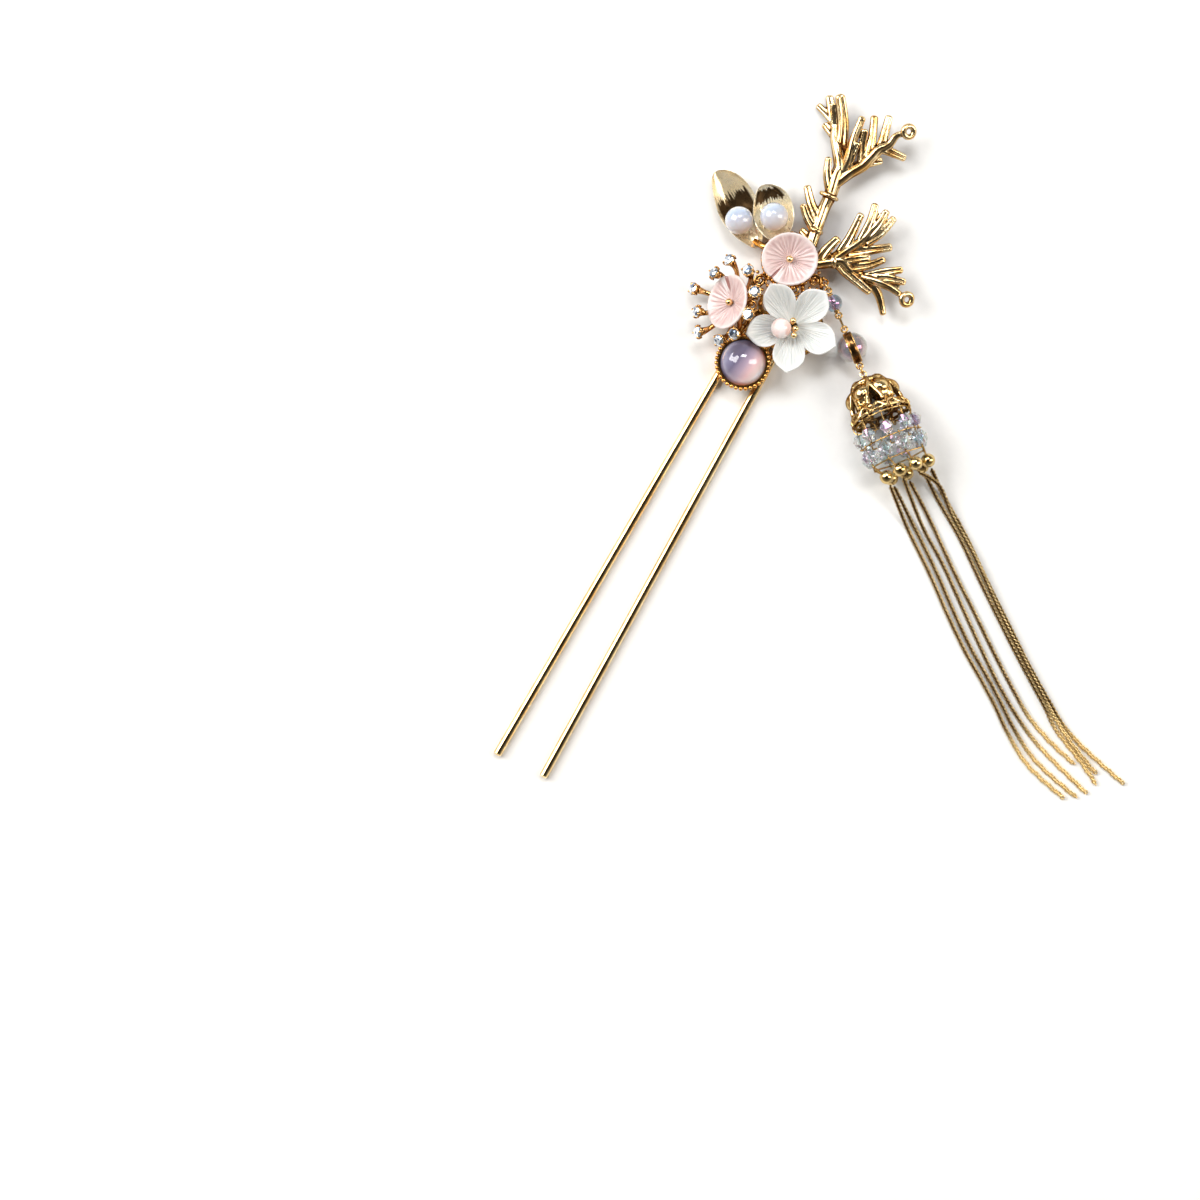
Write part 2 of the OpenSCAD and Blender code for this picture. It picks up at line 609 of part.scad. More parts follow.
// Pink flowers: fluted round cups of shell on a gold pin, the wall notched where it overlaps
pink_hole = pin_d / 2 + gap;
slit_turn = 250;
pink_edge = function (a)
  let (slit = abs(wrap(a - slit_turn, 360)))
  pink_d / 2 * (1 - 0.03 * cos(2 * (a - 120)) - 0.05 * max(0, 1 - slit / 12));
pink_rise_at = function (a, s)
  pink_cup * (s ^ 1.6 * 1.08 - 0.08 * s ^ 8) + 0.035 * pink_cup * s * cos(24 * a);

module pink_flower() {
  petals(pink_edge, pink_rise_at, pink_hole, pink_t, 3, 48);
}

module flower_pin(length) {
  translate([0, 0, pin_ball_d / 2 + pink_t + gap]) sphere(d = pin_ball_d);
  translate([0, 0, -length]) cylinder(d = pin_d, h = length + pink_t + pin_ball_d / 2);
}

pink_z = plate_top + pink_rise;

module pink_flower_upper() {
  color(shell_pink) in_place() translate(lift(pink_at, pink_z)) pink_flower();
}

module flower_pin_upper() {
  color(gold) in_place() translate(lift(pink_at, pink_z)) flower_pin(pink_z - plate_z);
}

flower_drop = -pink_cup;

module pink_flower_lower() {
  color(shell_pink) in_place() on_flower(flower_drop - pink_t / 2) rotate([0, 0, 30]) pink_flower();
}

module flower_pin_lower() {
  pin_l = hub_drop + flower_drop - pink_t / 2;
  color(gold) in_place() on_flower(flower_drop - pink_t / 2) flower_pin(pin_l);
}

// Stone burst: ten arms like a crown round the lower pink flower, each with a clawed cup
module claw(length) {
  cylinder(d = claw_d, h = length + claw_rise);
  translate([0, 0, length + claw_rise]) cylinder(d1 = claw_d, d2 = claw_d / 2, h = claw_tip);
}

module stone_burst() {
  knee_r = pink_d / 2 + arm_d;
  color(gold) in_place() difference() {
    union() {
      on_burst(-hub_drop) translate([0, 0, -hub_t / 2]) cylinder(r = hub_r, h = hub_t);
      translate(lift(burst_foot, plate_z)) cylinder(r = arm_d, h = hub_z - plate_z);
      for (i = [0:len(STONES) - 1]) {
        row = STONES[i];
        on_burst() rotate([0, 0, row[0]]) {
          knee = [max(knee_r, 0.4 * burst_d), 0, -knee_drop];
          cup = burst_d * [row[1], 0, row[2]] - 0.85 * cup_h * [sin(cup_splay), 0, cos(cup_splay)];
          rod([0.72 * hub_r, 0, -hub_drop], knee, 0.35 * arm_d, 0.48 * arm_d);
          translate(knee) sphere(0.65 * arm_d);
          rod(knee, cup, 0.42 * arm_d, 0.55 * arm_d);
        }
        on_stone(i) {
          translate([0, 0, -cup_h]) cylinder(r = cup_r, h = cup_h);
          for (k = [45:90:315]) rotate([0, 0, k]) translate([cup_r, 0, -0.8 * cup_h]) claw(0.8 * cup_h);
        }
      }
    }
    on_flower(-hub_drop - gap) cylinder(d = pin_d + 2 * gap, h = hub_t + 2 * gap);
    for (i = [0:len(STONES) - 1]) on_stone(i)
      translate([0, 0, -0.7 * cup_h]) cylinder(r = stone_d / 2 + gap, h = cup_h);
  }
}

// Rhinestones: a flat table over eight crown facets, and a pointed back in the cup
module rhinestone(i) {
  r = stone_d / 2;
  color(clear) in_place() on_stone(i) rotate_extrude($fn = 8)
    polygon([[0, gap - 0.7 * cup_h], [r, 0], [0.6 * r, 0.32 * r], [0, 0.32 * r]]);
}

// Leaf spray: two cupped leaves and their stems in one casting, a milky bead in each
function leaf_top(i, v, length) =
  let (row = LEAF[i], half = leaf_half * (v < 0 ? row[2] : row[1]))
  [length * row[0], half * v, leaf_cup * (row[3] + v ^ 2 * min(1, half / leaf_half * 1.4))];

module leaf(length) {
  n = len(LEAF);
  cols = leaf_steps + 1;
  top = [for (i = [0:n - 1]) for (k = [0:leaf_steps]) leaf_top(i, 2 * k / leaf_steps - 1, length)];
  bottom = [for (p = top) p - [0, 0, leaf_t]];
  m = len(top);
  faces = [for (i = [0:n - 2]) for (k = [0:leaf_steps - 1])
    let (a = i * cols + k, b = a + 1, c = a + cols, d = c + 1)
    each [[a, b, c], [b, d, c], [m + a, m + c, m + b], [m + b, m + c, m + d]]];
  sides = [for (i = [0:n - 2])
    let (a = i * cols, b = a + cols, c = a + leaf_steps, d = b + leaf_steps)
    each [[a, b, m + a], [b, m + b, m + a], [c, m + c, d], [d, m + c, m + d]]];
  ends = [for (k = [0:leaf_steps - 1])
    let (a = k, b = k + 1, c = (n - 1) * cols + k, d = c + 1)
    each [[a, m + a, b], [b, m + a, m + b], [c, d, m + c], [d, m + d, m + c]]];
  polyhedron(concat(top, bottom), concat(faces, sides, ends));
}

long_turn = 150.7;
short_turn = 138;
long_base = leaf_root + pink_d * [-0.18, -0.11];
short_base = leaf_root + pink_d * [0.13, 0.15];
long_z = leaf_t + gap;
short_z = plate_z + leaf_t;

module leaf_spray() {
  stem_z = over_granules + leaf_stem_r;
  stem_radii = leaf_stem_r * [1, 1, 0.9];
  color(gold) in_place() {
    translate(lift(long_base, long_z)) rotate([0, 0, long_turn]) leaf(leaf_long);
    translate(lift(short_base, short_z)) rotate([0, 0, short_turn]) leaf(leaf_short);
    tube([lift(leaf_root, plate_z + gap), lift(leaf_root, stem_z + leaf_stem_r / 2)],
      [leaf_pin_r, leaf_pin_r], 8, [1, 0, 0]);
    tube([lift(mix(leaf_root, long_base, -0.5), stem_z), lift(mix(leaf_root, long_base, 0.5), stem_z),
        lift(long_base + polar(0.06 * leaf_long, long_turn), long_z + 0.9 * leaf_cup)], stem_radii, 8);
    tube([lift(mix(leaf_root, short_base, -0.3), stem_z), lift(short_base, stem_z),
        lift(short_base + polar(0.1 * leaf_short, short_turn), short_z + 0.8 * leaf_cup)], stem_radii, 8);
  }
}

// Columns: foot of its leaf, the leaf's turn, height and length, the bead's share along it, its shift
OPALS = [
  [long_base, long_turn, long_z, leaf_long, 0.37, 0.78],
  [short_base, short_turn, short_z, leaf_short, 0.44, -0.3]];

module opal_bead(i) {
  base = OPALS[i][0];
  turn = OPALS[i][1];
  z = OPALS[i][2];
  length = OPALS[i][3];
  along = OPALS[i][4];
  side = OPALS[i][5];
  keel = leaf_cup * lookup(along, [for (row = LEAF) [row[0], row[3]]]);
  color(milky) in_place() translate(lift(base + polar(along * length, turn) + polar(side, turn + 90),
      z + keel + opal_d / 2 + opal_lift)) sphere(d = opal_d);
}

// Coral branches: cast grooved stems with blunt twigs, a collar or two and a small ring
function stem_points(rows, size, root) = [for (row = rows) root + size / 100 * [row.x, row.y, row.z]];

module stem(rows, size, root) {
  radii = [for (row = rows) row[3] * size / 100];
  last = radii[len(radii) - 1];
  points = stem_points(rows, size, root);
  end = points[len(points) - 1];
  tube(concat(points, [end + 0.5 * last * tangent(points, len(points) - 1)]),
    concat(radii, [0.6 * last]), 8);
}

module collar(row, size, root, along) {
  at = root + size / 100 * [row.x, row.y, row.z];
  r = row[3] * size / 100;
  hull() {
    bar(at - collar_t / 2 * along, at + collar_t / 2 * along, 0.8 * r, $fn = 12);
    bar(at - 0.3 * collar_t * along, at + 0.3 * collar_t * along, r, $fn = 12);
  }
}

module coral_branch(limbs, twigs, collars, along, ring_limb, size, root) {
  ring_path = stem_points(limbs[ring_limb], size, root);
  tip = len(ring_path) - 1;
  ring_r = coral_ring / 2 - coral_ring_wr;
  for (rows = limbs) stem(rows, size, root);
  for (rows = twigs) hull() stem(rows, size, root);
  for (row = collars) collar(row, size, root, along);
  translate(ring_path[tip] + ring_r * tangent(ring_path, tip)) rotate([0, coral_ring_tilt, 0])
    rotate_extrude($fn = 12) translate([ring_r, 0]) circle(coral_ring_wr, $fn = 6);
  tube([lift(root, plate_z + gap), root], [coral_root_r, coral_root_r], 8, [1, 0, 0]);
}

module coral_upper_branch() {
  root = lift(coral_upper_root, over_granules + 0.036 * coral_upper);
  color(gold) in_place() coral_branch(UPPER_LIMBS, UPPER_TWIGS, UPPER_COLLARS, [-0.12, 0.99, 0],
    UPPER_RING, coral_upper, root);
}

module coral_lower_branch() {
  root = lift(coral_lower_root, over_granules + 0.052 * coral_lower);
  color(gold) in_place() coral_branch(LOWER_LIMBS, LOWER_TWIGS, LOWER_COLLARS, [0.78, 0.62, 0],
    LOWER_RING, coral_lower, root);
}

// Tassel top: links, eye pins and two round crystals
module long_round(span, r) {
  for (side = [0, 1]) translate([side * span, 0, 0]) rotate([0, 0, 90 - 180 * side])
    rotate_extrude(angle = 180) translate([r, 0]) circle(link_wr);
  for (side = [-1, 1]) translate([0, side * r, 0]) rotate([0, 90, 0]) cylinder(r = link_wr, h = span);
}

module eye_pin(length) {
  ring(eye_r, link_wr);
  translate([length, 0, 0]) ring(eye_r, link_wr);
  translate([eye_r, 0, 0]) rotate([0, 90, 0]) cylinder(r = link_wr, h = length - 2 * eye_r);
}

module top_link() {
  color(gold) in_place() on_tassel(link_r) rotate([90, 0, 0]) ring(link_r, link_wr);
}

module eye_pin_small() {
  color(dark_gold) in_place() on_tassel(at_eye_1) eye_pin(at_eye_2 - at_eye_1);
}

module crystal_small() {
  color(clear) in_place() on_tassel(at_small) rotate([0, 90, 0]) crystal(bead_small, 12, link_wr);
}

module long_oval_link() {
  color(gold) in_place() on_tassel(at_eye_2 + eye_r) rotate([90, 0, 0])
    long_round(long_link - 2 * eye_r, eye_r);
}

module eye_pin_large() {
  color(gold) in_place() on_tassel(at_eye_3) eye_pin(at_eye_4 - at_eye_3);
}

module crystal_large() {
  color(clear) in_place() on_tassel(at_large) rotate([0, 90, 0]) crystal(bead_large, 12, link_wr);
}

module cap_link() {
  color(gold) in_place() on_tassel(at_eye_4 + link_r) rotate([90, 0, 0]) ring(link_r, link_wr);
}

// Lantern cap: a pierced bell of petals with a raised boss on each
module lantern_cap() {
  outer = [for (row = CAP) [cap_r * row[1], cap_l * row[0]]];
  inner = [for (i = [len(CAP) - 1:-1:hollow_row + 1]) [cap_r * CAP[i][1] - cap_wall, cap_l * CAP[i][0]]];
  crown = [[cap_r * hollow_in, cap_l * CAP[hollow_row][0]], [0, cap_l * CAP[hollow_row - 1][0]]];
  color(gold) in_place() on_cap() {
    ring(eye_r, link_wr);
    rotate([0, 90, 0]) difference() {
      union() {
        rotate_extrude() polygon(concat(outer, inner, crown));
        for (k = [0:cap_petals - 1]) rotate([0, 0, 360 * (k + 0.5) / cap_petals])
          translate([0.65 * cap_r, 0, 0.45 * cap_l]) sphere(r = 0.12 * cap_r);
      }
      for (k = [0:cap_petals - 1]) {
        rotate([0, 0, 360 * k / cap_petals]) translate([0.45 * cap_r, 0, 0]) rotate([0, 90, 0])
          linear_extrude(cap_r) polygon([[-0.32 * cap_l, 0], [-0.74 * cap_l, 0.22 * cap_r],
            [-0.74 * cap_l, -0.22 * cap_r]]);
        rotate([0, 0, 360 * (k + 0.5) / cap_petals]) translate([0.5 * cap_r, 0, 0.72 * cap_l])
          rotate([0, 90, 0]) cylinder(r = 0.13 * cap_r, h = cap_r);
      }
      for (k = [0:net_count - 1]) rotate([0, 0, 360 * (k + 0.5) / net_count])
        translate([0.6 * cap_r, 0, hook_mid - hook_r]) rotate([0, 90, 0])
          cylinder(r = 2.5 * net_wr, h = cap_r);
    }
  }
}

// Net: zigzag wires that carry two rings of crystals and a ring of gold balls under the cap
function oval(size, mid, x, turn, side = 0) =
  let (a = turn + 5.5 * sin(2 * turn), z = size.y * sin(a))
  [x - net_lean * z, side + size.x * cos(a), mid + z];
function rim_point(k) =
  let (a = 360 * k / net_count, y = net_in * cos(a), z = net_in * sin(a))
  [net_top * cos(cap_pitch) - z * sin(cap_pitch), y, bail_z + net_top * sin(cap_pitch) + z * cos(cap_pitch)];
function net_b(k) = oval(upper_oval, upper_mid, ring_b_x, 360 * k / net_count);
function low_top(k) = oval(lower_oval, lower_mid, ring_b_x, 360 * (k + 0.5) / net_count);
function low_end(k) = oval(lower_oval, lower_mid, ring_c_x, 360 * (k + 0.5) / net_count);
function ball_at(j) = oval(ball_oval, ball_mid, ball_x, ball_turn + 360 * j / ball_count, ball_side);

module net_wire() {
  $fn = 6;
  color(gold) in_place() {
    on_cap(net_top) rotate([0, 90, 0]) ring(net_in, net_wr, 32, 4);
    on_net() {
      for (k = [0:net_count - 1]) {
        strut(rim_point(k), net_b(k), net_wr, joint_in, joint_in);
        strut(net_b(k), low_top(k), net_wr, joint_in, joint_in);
        strut(low_top(k), net_b(k + 1), net_wr, joint_in, joint_in);
        strut(low_top(k), low_end(k), net_wr, joint_in, joint_in);
        strut(low_end(k), low_end(k + 1), net_wr, joint_in, joint_in);
        for (p = [rim_point(k), net_b(k), low_top(k), low_end(k)]) translate(p) sphere(joint_r);
      }
      for (j = [0:ball_count - 1]) strut(low_end(j), ball_at(j), net_wr, joint_in, 0);
    }
  }
}

// Hooks: small rings through the cap's rim, which hold the net's top ring
module net_hooks() {
  $fn = 6;
  color(gold) in_place() on_cap() for (k = [0:net_count - 1]) rotate([360 * (k + 0.5) / net_count, 0, 0])
    translate([hook_mid, 0, hook_in]) rotate([90, 0, 0]) ring(hook_r, net_wr, 12, 4);
}

// A crystal on the wire that leads from p to q, close to the joint at q
module on_wire(p, q, d) {
  along = unit(q - p);
  between(q - (joint_r + gap + crystal_half * d) * along, q) crystal(d, 8);
}

module net_crystals_upper() {
  color(clear) in_place() on_net() for (k = [0:net_count - 1]) on_wire(rim_point(k), net_b(k), net_upper);
}

module net_crystals_lower() {
  color(clear) in_place() on_net() for (k = [0:net_count - 1]) on_wire(low_top(k), low_end(k), net_lower);
}

module net_balls() {
  color(gold) in_place() on_net() for (j = [0:ball_count - 1]) difference() {
    translate(ball_at(j)) sphere(d = ball_d);
    strut(low_end(j), ball_at(j), net_wr + 1.5 * gap, 0, -2 * gap);
  }
}

// Chains: fine curb chains from the balls to the floor, as slim tubes
function to_head(p) =
  let (c = cos(tassel_turn), s = sin(tassel_turn), x = p.x + bail_plan)
  [tassel_at.x + c * x - s * p.y, tassel_at.y + s * x + c * p.y, p.z];
function chain_start(i) = to_head(ball_at(CHAIN_BALL[i]) + [ball_d / 2 + 5 * gap, 0, 0]);

module chain(i) {
  route = concat([chain_start(i)], ROUTES[i]);
  points = [for (k = [0:chain_rings - 1])
    let (p = spline_at(route, k / (chain_rings - 1))) lift(p, max(p.z, chain_d / 2))];
  color(dark_gold) in_place() tube(points, [for (p = points) chain_d / 2], chain_sides);
}

hair_fork();
filigree_base();
cabochon();
white_flower();
pearl();
stamens();
pink_flower_upper();
flower_pin_upper();
stone_burst();
pink_flower_lower();
flower_pin_lower();
rhinestone(0);  // rhinestone_01
rhinestone(1);  // rhinestone_02
rhinestone(2);  // rhinestone_03
rhinestone(3);  // rhinestone_04
rhinestone(4);  // rhinestone_05
rhinestone(5);  // rhinestone_06
rhinestone(6);  // rhinestone_07
rhinestone(7);  // rhinestone_08
rhinestone(8);  // rhinestone_09
rhinestone(9);  // rhinestone_10
leaf_spray();
opal_bead(0);  // opal_bead_1
opal_bead(1);  // opal_bead_2
coral_upper_branch();
coral_lower_branch();
top_link();
eye_pin_small();
crystal_small();
long_oval_link();
eye_pin_large();
crystal_large();
cap_link();
lantern_cap();
net_wire();
net_hooks();
net_crystals_upper();
net_crystals_lower();
net_balls();
chain(0);  // chain_1
chain(1);  // chain_2
chain(2);  // chain_3
chain(3);  // chain_4
chain(4);  // chain_5
chain(5);  // chain_6
chain(6);  // chain_7
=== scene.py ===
import math
import bpy
import numpy as np
from mathutils import Matrix, Vector


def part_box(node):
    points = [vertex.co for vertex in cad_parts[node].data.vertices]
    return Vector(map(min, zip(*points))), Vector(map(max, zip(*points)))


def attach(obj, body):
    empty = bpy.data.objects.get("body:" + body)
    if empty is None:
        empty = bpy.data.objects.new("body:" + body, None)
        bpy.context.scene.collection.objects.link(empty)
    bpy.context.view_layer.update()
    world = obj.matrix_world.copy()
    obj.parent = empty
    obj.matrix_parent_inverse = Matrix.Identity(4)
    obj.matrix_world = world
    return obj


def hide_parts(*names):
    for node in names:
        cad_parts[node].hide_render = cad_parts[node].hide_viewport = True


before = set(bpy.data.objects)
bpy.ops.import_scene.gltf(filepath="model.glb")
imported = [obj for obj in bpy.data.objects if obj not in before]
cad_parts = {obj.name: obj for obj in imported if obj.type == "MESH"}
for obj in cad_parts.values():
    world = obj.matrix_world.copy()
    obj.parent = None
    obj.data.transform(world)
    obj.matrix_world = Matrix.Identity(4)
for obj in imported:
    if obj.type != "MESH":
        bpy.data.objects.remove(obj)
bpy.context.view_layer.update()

# The studio
# The hairpin lies on a pale sheet, seen from straight above, with two soft boxes at the sides and
# a dark ceiling between them, which the polished metal mirrors as its dark stripes.
mm = 0.001
view_width = 250 * mm
view_turn = math.radians(31)
view_drop = 57.6 * mm
camera_height = 1.6
sensor = 36
stone_low, stone_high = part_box("cabochon")
head = (np.array(stone_low) + np.array(stone_high)) / 2 / mm
head[2] = 0
view_middle = head * mm - [0, view_drop, 0]

camera = bpy.data.objects.new("camera", bpy.data.cameras.new("camera"))
camera.data.sensor_width = sensor
camera.data.lens = sensor * camera_height / view_width
camera.location = Vector(view_middle) + Vector((0, 0, camera_height))
camera.rotation_euler = (0, 0, view_turn)
bpy.context.scene.collection.objects.link(camera)
bpy.context.scene.camera = camera
bpy.context.scene.view_settings.view_transform = "Standard"


def in_view(right, up, height):
    """A point in metres: right and up from the middle of the camera's view, and above the floor."""
    c, s = math.cos(view_turn), math.sin(view_turn)
    return Vector(view_middle) + Vector((c * right - s * up, s * right + c * up, height))


def soft_box(name, place, width, length, watts, tint):
    """A rectangular lamp that faces the middle of the view."""
    lamp = bpy.data.lights.new(name, "AREA")
    lamp.shape = "RECTANGLE"
    lamp.size, lamp.size_y = width, length
    lamp.energy = watts
    lamp.color = tint
    stand = bpy.data.objects.new(name, lamp)
    stand.location = place
    stand.rotation_euler = (Vector(view_middle) - place).to_track_quat("-Z", "Y").to_euler()
    bpy.context.scene.collection.objects.link(stand)


soft_box("box_left", in_view(-0.75, 0.45, 0.75), 0.7, 0.9, 15, (1, 0.98, 0.95))
soft_box("box_right", in_view(0.8, 0.1, 0.6), 0.35, 0.8, 5, (1, 0.95, 0.88))
soft_box("box_top", in_view(0.1, 0.75, 1.1), 0.6, 0.3, 7, (0.97, 0.98, 1))


def fill(tree, node, inputs):
    """Fills a node's inputs: each takes the socket given for it, by a link, or else the value."""
    for key, given in inputs.items():
        if isinstance(given, bpy.types.NodeSocket):
            tree.links.new(given, node.inputs[key])
        else:
            node.inputs[key].default_value = given


def step(tree, kind, inputs, output=None, **settings):
    """One more shader node of a kind, with its settings made and its inputs filled. Gives its
    output of that name, or else its first in use."""
    made = tree.nodes.new("ShaderNode" + kind)
    for key, value in settings.items():
        setattr(made, key, value)
    fill(tree, made, inputs)
    return made.outputs[output] if output else next(o for o in made.outputs if o.enabled)


def ramp(tree, share, *stops):
    """Colours along a share, blended between stops, which are places in rising order and tints."""
    made = tree.nodes.new("ShaderNodeValToRGB")
    tree.links.new(share, made.inputs[0])
    held = made.color_ramp.elements
    for k, (position, tint) in enumerate(stops):
        stop = held[k] if k < 2 else held.new(position)
        stop.position = position
        stop.color = (*tint, 1)
    return made.outputs[0]


def coat(tree, values):
    """Fills inputs of a material's main shader."""
    fill(tree, tree.nodes["Principled BSDF"], values)


def skin(name, values):
    """A new material with those values on its main shader, and its node tree."""
    made = bpy.data.materials.new(name)
    made.use_nodes = True
    coat(made.node_tree, values)
    return made, made.node_tree


def local(tree, kind, inputs, output=None):
    """A texture over the object's own coordinates."""
    return step(tree, kind, {"Vector": step(tree, "TexCoord", {}, "Object"), **inputs}, output)


world = bpy.data.worlds.new("studio")
bpy.context.scene.world = world
world.use_nodes = True
sky = world.node_tree
sky_height = step(sky, "SeparateXYZ", {0: step(sky, "TexCoord", {}, "Generated")}, "Z")
ceiling = [(up, (tone, tone * 0.97, tone * 0.94)) for up, tone in ((0.55, 0.16), (0.8, 0.05), (0.94, 0.02))]
sky_tones = ramp(sky, sky_height, (0.0, (0.8, 0.78, 0.75)), (0.22, (0.32, 0.30, 0.28)), *ceiling)
fill(sky, sky.nodes["Background"], {0: sky_tones, 1: 1.0})

floor_mesh = bpy.data.meshes.new("floor")
reach, floor_gap = 3.0, 0.02 * mm
floor_mesh.from_pydata([(-reach, -reach, 0), (reach, -reach, 0), (reach, reach, 0), (-reach, reach, 0)], [],
                       [(0, 1, 2, 3)])
floor = bpy.data.objects.new("floor", floor_mesh)
floor.location.z = -floor_gap
bpy.context.scene.collection.objects.link(floor)
paper, tree = skin("paper", {"Roughness": 0.9})
fibres = local(tree, "TexNoise", {"Scale": 900})
coat(tree, {"Base Color": ramp(tree, fibres, (0, (0.88, 0.88, 0.87)), (1, (0.92, 0.92, 0.91)))})
floor_mesh.materials.append(paper)


# The hair fork
# One bent brass wire with two prongs, drawn, polished and plated pale gold. The head is soldered
# on its bend. Its finish is the model for all the gold here.
def blend(tree, share, low, high):
    """A colour that goes from low to high with the share; both are colours or sockets."""
    return step(tree, "Mix", {"Factor": share, "A": low, "B": high}, data_type="RGBA")


def between(tree, value, low, high, start=0, end=1):
    """Goes from start to end while the value goes from low to high."""
    return step(tree, "MapRange", {"Value": value, "From Min": low, "From Max": high,
                                   "To Min": start, "To Max": end})


def plated(name, pale, deep, roughness, grain, relief, crevice=0.0, sides=0.0):
    """Plated metal: a soft noise of the given grain runs between a deep and a pale tone, a finer one lifts
    the roughness and a small bump. Painted shade darkens the hollows by the crevice share, and walls that
    face away from the front, read from the attribute shade, by the share sides."""
    made, tree = skin(name, {"Metallic": 1})
    tones = local(tree, "TexNoise", {"Scale": grain, "Detail": 4})
    colour = ramp(tree, tones, (0.35, deep), (0.62, pale))
    # Painted shade in the hollows, found by their pointiness.
    if crevice:
        depth = between(tree, step(tree, "NewGeometry", {}, "Pointiness"), 0.44, 0.52, 1 - crevice)
        colour = blend(tree, depth, (deep[0] * 0.18, deep[1] * 0.13, deep[2] * 0.08, 1), colour)
    # Painted shade on walls that face away from the front, with their reflections tinted brown.
    if sides:
        facing = step(tree, "Attribute", {}, "Fac", attribute_name="shade")
        side_shading = between(tree, facing, 0.2, 0.72, 1 - sides)
        colour = blend(tree, side_shading, (deep[0] * 0.16, deep[1] * 0.11, deep[2] * 0.08, 1), colour)
        coat(tree, {"Specular Tint": (0.3, 0.17, 0.07, 1)})
    scuffs = local(tree, "TexNoise", {"Scale": grain * 4, "Detail": 6})
    sheen = between(tree, scuffs, 0, 1, roughness * 0.6, roughness * 1.5)
    dents = step(tree, "Bump", {"Height": scuffs, "Strength": relief, "Distance": 0.1 * mm})
    coat(tree, {"Base Color": colour, "Roughness": sheen, "Normal": dents})
    return made


def dress(material, *names):
    """Gives CAD nodes a finish: every material slot of their objects takes it."""
    for name in names:
        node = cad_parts[name]
        if not node.material_slots:
            node.data.materials.append(None)
        for slot in node.material_slots:
            slot.link = "OBJECT"
            slot.material = material


pale_gold, deep_gold = (1.0, 0.78, 0.42), (0.86, 0.56, 0.24)
fork_gold = plated("fork_gold", pale_gold, deep_gold, 0.13, 250, 0.03)
dress(fork_gold, "hair_fork")

# The filigree base
# A pierced brass plate with lace loops and granules, the beaded setting and the tassel's eye
# soldered on. It is plated a warmer gold and shows between the flowers.
orange_gold, brown_gold = (0.95, 0.52, 0.15), (0.72, 0.33, 0.07)
filigree_gold = plated("filigree_gold", orange_gold, brown_gold, 0.2, 500, 0.25, 0.5)
dress(filigree_gold, "filigree_base")

# The cabochon
# A domed glass stone on a foil, held by the beaded edge of its setting. Its colour is painted light:
# grey-violet in painted shade on one side and a painted pink glow on the other.
def reckon(tree, operation, *values):
    """The outcome of one operation on values or sockets."""
    return step(tree, "Math", dict(enumerate(values)), operation=operation)


def across(tree, middle, turn, width):
    """The share of the way across a piece, through its middle in the direction of the turn."""
    place = step(tree, "Mapping", {"Vector": step(tree, "TexCoord", {}, "Object"), "Location": middle,
                                   "Rotation": (0, 0, turn), "Scale": (width, width, width)},
                 vector_type="TEXTURE")
    return reckon(tree, "ADD", step(tree, "SeparateXYZ", {0: place}, "X"), 0.5)


moonstone, tree = skin("moonstone", {
    "Roughness": 0.06, "Coat Weight": 1, "Coat Roughness": 0.02, "Subsurface Weight": 0.25,
    "Subsurface Radius": (1, 0.8, 0.9), "Subsurface Scale": 1.5 * mm})
# Painted light: a gradient across the stone from shaded grey-violet to a pink glow.
share = across(tree, head * mm, view_turn + math.radians(-38), stone_high[0] - stone_low[0])
coat(tree, {"Base Color": ramp(
    tree, share, (0.0, (0.45, 0.47, 0.60)), (0.12, (0.26, 0.25, 0.38)), (0.38, (0.17, 0.15, 0.24)),
    (0.58, (0.48, 0.37, 0.47)), (0.74, (0.92, 0.62, 0.64)), (0.86, (1.0, 0.78, 0.76)),
    (0.95, (0.80, 0.82, 0.92)))})
dress(moonstone, "cabochon")


# The white flower
# Five pointed petals cut from one thin piece of pearl shell, cupped, with fine veins from the
# middle to each tip. A gold pin through the middle holds it over the filigree.
def centre(name):
    """Middle of a CAD node's box, in millimetres."""
    low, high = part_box(name)
    return (np.array(low) + np.array(high)) / 2 / mm


def grid(rows, cols, closed_rows=False, closed_cols=True):
    """Quads over rows x cols points, with each corner's place as shares of the grid. The shares
    run on past a seam, so a pattern on them has none."""
    i, j = np.meshgrid(np.arange(rows - (not closed_rows)), np.arange(cols - (not closed_cols)),
                       indexing="ij")
    row = np.stack([i, i, i + 1, i + 1], -1).reshape(-1, 4)
    col = np.stack([j, j + 1, j + 1, j], -1).reshape(-1, 4)
    return row % rows * cols + col % cols, np.stack([col / cols, row / rows], -1).reshape(-1, 2)


def hollows(mesh, points, normals):
    """How far each point lies below the evened surface round it, in mm: each round of evening puts
    every point at the mean of its neighbours."""
    ends = np.empty(2 * len(mesh.edges), np.int32)
    mesh.edges.foreach_get("vertices", ends)
    near, far = ends.reshape(-1, 2).T, ends.reshape(-1, 2)[:, ::-1].T
    near, far = near.ravel(), far.ravel()
    count = np.bincount(near, minlength=len(points))
    even = points
    for _ in range(12):
        even = np.stack([np.bincount(near, even[far, k], len(points)) / count for k in range(3)], -1)
    return np.sum((even - points) * normals, 1)


